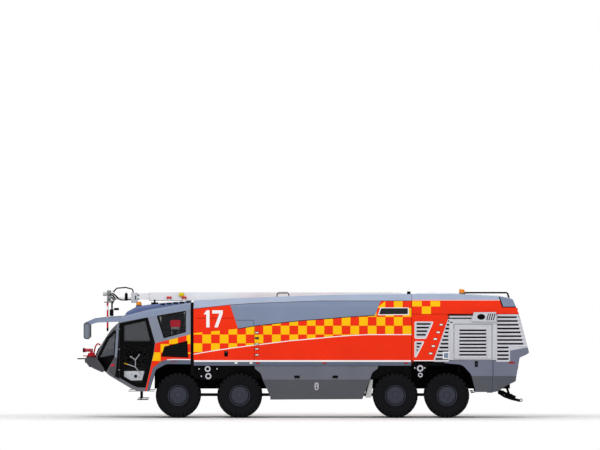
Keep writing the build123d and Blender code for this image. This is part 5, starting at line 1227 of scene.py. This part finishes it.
piece("nozzle_cheeks", grey, paint("grey_cast_cheeks", "#9A9E9C", roughness=0.45), body="boom_slide")
form = bmesh.new()
for z in (3.135, 3.185, 3.235):
    rod(form, (-5.9255, 0.0, z), (-5.9275, 0.0, z), 0.018, sides=20)
clear_lamp = paint("clear_boom_lamp", "#F1F1EC", roughness=0.15)
piece("boom_lamp_lenses", form, clear_lamp, body="boom_slide")

# Hoses at the boom's head: dull black rubber, clamped at both ends to the head, two to each side with the
# cable of the lamp.
hose_black = paint("hose_rubber", "#141416", roughness=0.7)
dress(hose_black, "boom_hoses")
head_route = (
    (-5.86, 0.118, 3.79), (-5.78, 0.118, 3.77), (-5.71, 0.118, 3.69), (-5.62, 0.118, 3.60),
    (-5.50, 0.118, 3.585), (-5.36, 0.118, 3.60), (-5.26, 0.118, 3.60),
)
nozzle_route = ((-5.90, 0.125, 3.755), (-5.83, 0.125, 3.735), (-5.76, 0.125, 3.66), (-5.745, 0.125, 3.585))
cable_route = (
    (-5.868, 0.12, 3.685), (-5.80, 0.10, 3.62), (-5.785, 0.08, 3.55), (-5.85, 0.06, 3.47),
    (-5.85, 0.04, 3.40),
)
hose_routes = (
    ("head_hose", head_route, 0.02), ("nozzle_hose", nozzle_route, 0.02), ("lamp_cable", cable_route, 0.017),
)
for side, side_name in both_sides:
    for name, route, radius in hose_routes:
        points = [(x, side * y, z) for x, y, z in route]
        pipe(f"{name}_{side_name}", points, radius, hose_black, body="boom_slide")

# Lance: a red lacquered steel tube that hangs from the head, with white film bands and a black hardened tip
# turned to a cone.
turret_red = paint("turret_red_paint", "#D8202C", roughness=0.35)
dress(turret_red, "lance")
lance_x = -5.985
white = bmesh.new()
tip = bmesh.new()
for low, high in ((3.28, 3.407), (2.96, 3.07)):
    rod(white, (lance_x, 0.0, low), (lance_x, 0.0, high), 0.0295)
rod(tip, (lance_x, 0.0, 2.66), (lance_x, 0.0, 2.735), 0.0305)
rod(tip, (lance_x, 0.0, 2.625), (lance_x, 0.0, 2.66), 0.012, end_radius=0.0305)
piece("lance_bands", white, white_film, body="lance")
piece("lance_tip", tip, black_trim, body="lance")

# Slide pads at the mouth of the outer section, of dark grey nylon, and the cable line under it in its clips.
form = bmesh.new()
for z in (3.635, 3.765):
    block_pair(form, (-4.712, -4.69), (0.1435, 0.006), (z - 0.022, z + 0.022), bevel=0.003)
rod_pair(form, (-4.705, 0.135, 3.569), (-3.39, 0.135, 3.569), 0.007, sides=8)
for x in (-4.6, -4.1, -3.6):
    block_pair(form, (x - 0.012, x + 0.012), (0.135, 0.012), (3.562, 3.577))
piece("boom_slide_pads", form, paint("dark_grey_guides", "#3A3C42", roughness=0.5), body="boom")

# Rest of the boom on the cab roof: white welded legs on screwed feet, with red rubber pads and a yellow
# marker, and black louvres along the edge of the raised roof.
legs = bmesh.new()
pads = bmesh.new()
marker = bmesh.new()
louvres = bmesh.new()
leg_y = 0.178
for x, foot in ((-4.097, 3.505), (-3.64, 3.535)):
    block_pair(legs, (x - 0.02, x + 0.02), (leg_y, 0.012), (foot, 3.64), bevel=0.004)
    block_pair(legs, (x - 0.06, x + 0.06), (0.2, 0.035), (foot, foot + 0.012), bevel=0.003)
    block_pair(pads, (x - 0.077, x + 0.077), (leg_y, 0.02), (3.627, 3.70), bevel=0.014)
block_pair(marker, (-3.80, -3.637), (leg_y, 0.02), (3.70, 3.812), bevel=0.03, segments=3)
for number in range(5):
    shift = 0.196 * number
    x, z = -4.353 + shift, 3.462 + 0.083 * shift
    block_pair(louvres, (x, x + 0.14), (0.795, 0.028), (z - 0.02, z + 0.03), bevel=0.006)
piece("boom_rest_legs", legs, boom_white)
piece("boom_rest_pads", pads, paint("red_rubber", "#D4423F", roughness=0.6))
piece("boom_rest_marker", marker, paint("yellow_marker", "#EFD526", roughness=0.4))
piece("roof_louvres", louvres, black_trim)


# Beacons on cab and module: amber plastic domes with moulded ribs, each screwed down in a black ring.
def turned(form, rows, foot, axis="X", steps=32):
    """A closed turned part about an axis through its foot: rows of radius and distance from the foot."""
    spun(form, rows, steps, foot=foot, axis=axis, capped=True)


beacon_amber = paint("amber_lens", "#F5952A", roughness=0.2)
dress(beacon_amber, "lamps")
rib_circle, rib_count = 0.0705, 18
lenses = bmesh.new()
rims = bmesh.new()
for side in (-1, 1):
    for x, y, z, rise in ((-5.025, 0.6, 3.422, 0.113), (4.875, 0.9, 3.792, 0.133)):
        foot = (x, side * y, z)
        dome_rows = ((0.070, 0.010), (0.072, 0.03), (0.070, rise - 0.03), (0.060, rise - 0.008), (0.03, rise))
        turned(rims, ((0.079, -0.004), (0.079, 0.014), (0.070, 0.018)), foot, axis="Z")
        turned(lenses, dome_rows, foot, axis="Z")
        for number in range(rib_count):
            angle = math.tau * number / rib_count
            rib_x, rib_y = x + rib_circle * math.cos(angle), side * y + rib_circle * math.sin(angle)
            rod(lenses, (rib_x, rib_y, z + 0.022), (rib_x, rib_y, z + rise - 0.034), 0.004, sides=6)
beacons = piece("beacon_lenses", lenses, beacon_amber)
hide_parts("lamps")
piece("beacon_rings", rims, black_trim)

# Headlamps: clear glass lenses in turned steel rims, two to each side in the bumper.
lens_rows = ((0.049, -0.060), (0.049, -0.069), (0.040, -0.075), (0.015, -0.078))
lamp_rim_rows = ((0.0585, 0.0), (0.0585, -0.066), (0.054, -0.076), (0.048, -0.070))
lenses = bmesh.new()
rims = bmesh.new()
for y in (-0.575, -0.42, 0.42, 0.575):
    foot = (-6.60, y, 1.755)
    turned(rims, lamp_rim_rows, foot)
    turned(lenses, lens_rows, foot)
clear_lens = paint("clear_headlamp_lens", "#E6EAEE", roughness=0.08, shine=0.5)
piece("headlamp_lenses", lenses, clear_lens)
piece("headlamp_rims", rims, steel)

# Tail lamps: three round plastic lenses, amber, red and clear, in a black box on each side, and a red
# reflector inside of them.
tail_lens_rows = ((0.044, -0.01), (0.044, 0.003), (0.036, 0.007), (0.012, 0.008))
form = bmesh.new()
block_pair(form, (6.482, 6.578), (1.18, 0.149), (1.496, 1.624), bevel=0.012)
piece("tail_lamp_housings", form, black_trim)
tail_lenses = (("amber", 0.097, beacon_amber), ("red", 0.0, lamp_red), ("clear", -0.097, lamp_white))
for name, shift, finish in tail_lenses:
    form = bmesh.new()
    for side in (-1, 1):
        turned(form, tail_lens_rows, (6.576, side * (1.18 + shift), 1.56))
    piece(f"tail_lamps_{name}", form, finish)
reflector_rows = ((0.038, -0.01), (0.038, 0.004), (0.030, 0.008))
form = bmesh.new()
for side in (-1, 1):
    turned(form, reflector_rows, (6.548, side * 0.86, 1.44), steps=24)
piece("rear_reflectors", form, lamp_red)

# Mirrors: a dark moulded shell round each head with a lighter inset on its outer side, and the silvered
# glass on its rear face.
shell_outline = (
    (-6.696, 2.86), (-6.682, 2.89), (-6.652, 2.902), (-6.552, 2.902), (-6.522, 2.89), (-6.508, 2.86),
    (-6.508, 2.452), (-6.522, 2.416), (-6.556, 2.403), (-6.63, 2.413), (-6.676, 2.432), (-6.696, 2.478),
)
inset_x, inset_z = -6.602, 2.652
inset_outline = [(inset_x + (x - inset_x) * 0.72, inset_z + (z - inset_z) * 0.88) for x, z in shell_outline]
shells = bmesh.new()
insets = bmesh.new()
mirrors = bmesh.new()
for side in (-1, 1):
    plate(shells, shell_outline, side * 1.326, side * 1.594)
    plate(insets, inset_outline, side * 1.594, side * 1.597)
block_pair(mirrors, (-6.509, -6.5045), (1.46, 0.115), (2.45, 2.86))
piece("mirror_shells", shells, paint("dark_mirror_shell", "#4A4E56", roughness=0.45), smooth=50)
piece("mirror_insets", insets, paint("mirror_shell_inset", "#79808B", roughness=0.45), smooth=0)
piece("mirror_glasses", mirrors, paint("mirror_glass", "#B8C0CC", roughness=0.04, metallic=1.0), smooth=0)

# Bumper: grained plastic with dark slots in its slope, blank white plates front and rear on black holders,
# and black cast towing eyes bolted through it.
slots = bmesh.new()
for number in range(4):
    z = 1.565 + 0.032 * number
    x = -6.645 + (1.7 - z) * 1.1
    block(slots, (x - 0.004, -0.62, z - 0.009), (x + 0.012, 0.62, z + 0.009), bevel=0.002)
piece("bumper_slots", slots, black_trim)
plates = bmesh.new()
block(plates, (-6.672, -0.26, 1.655), (-6.664, 0.26, 1.765), bevel=0.003)
block(plates, (6.553, -0.26, 1.31), (6.561, 0.26, 1.42), bevel=0.003)
piece("blank_plates", plates, paint("white_plate", "#F0F0F0", roughness=0.4))
eye_y = 0.82
holders = bmesh.new()
block_pair(holders, (-6.666, -6.60), (0.18, 0.02), (1.66, 1.76), bevel=0.003)
block_pair(holders, (6.51, 6.555), (0.18, 0.02), (1.32, 1.41), bevel=0.003)
block_pair(holders, (-6.49, -6.43), (eye_y, 0.022), (1.57, 1.63), bevel=0.005)
for side in (-1, 1):
    ring(holders, -6.50, 1.60, side * eye_y - 0.014, side * eye_y + 0.014, 0.058, 0.028)
piece("plate_holders_and_tow_eyes", holders, chassis_black)

# Front turret: red lacquered castings on a base plate screwed to the bumper, steel bolts round the turning
# foot and at the pins, and a black nozzle with a knurled grip and bright turned lips.
dress(turret_red, "turret_column", "turret_barrel")
turret_x, pin_z = -6.48, 2.05
base = bmesh.new()
block(base, (-6.742, -0.105, 1.862), (-6.596, 0.105, 1.888), bevel=0.012)
block(base, (-6.364, -0.105, 1.862), (-6.29, 0.105, 1.90), bevel=0.012)
block_pair(base, (-6.60, -6.36), (0.128, 0.014), (1.862, 1.915), bevel=0.008)
piece("turret_base", base, turret_red)
bolt_circle, bolt_count = 0.094, 10
bolts = bmesh.new()
for number in range(bolt_count):
    angle = math.tau * (number + 0.5) / bolt_count
    spot = (turret_x + bolt_circle * math.cos(angle), bolt_circle * math.sin(angle))
    rod(bolts, (*spot, 1.958), (*spot, 1.968), 0.009, sides=6)
rod_pair(bolts, (turret_x, 0.0984, pin_z), (turret_x, 0.112, pin_z), 0.028, sides=16)
piece("turret_bolts", bolts, steel, body="turret_column")
grip_rows = ((0.058, 0.0), (0.0635, 0.006), (0.0635, 0.05), (0.052, 0.056), (0.048, 0.10))
grip_radius, knurl_count = 0.0635, 12
nozzle = bmesh.new()
turned(nozzle, grip_rows, (-6.742, 0.0, pin_z))
for number in range(knurl_count):
    angle = math.tau * number / knurl_count
    across, up = grip_radius * math.cos(angle), grip_radius * math.sin(angle)
    rod(nozzle, (-6.735, across, pin_z + up), (-6.695, across, pin_z + up), 0.006, sides=6)
piece("turret_nozzle_grip", nozzle, black_trim, body="turret_barrel")
lip_foot = (-6.743, 0.0, pin_z)
lip = bmesh.new()
turned(lip, ((0.046, -0.006), (0.050, -0.003), (0.050, 0.002)), lip_foot)
for start in (0.11, 0.15):
    band_rows = ((0.045, start), (0.053, start + 0.003), (0.053, start + 0.012), (0.045, start + 0.015))
    turned(lip, band_rows, lip_foot)
piece("turret_nozzle_lip", lip, steel, body="turret_barrel")
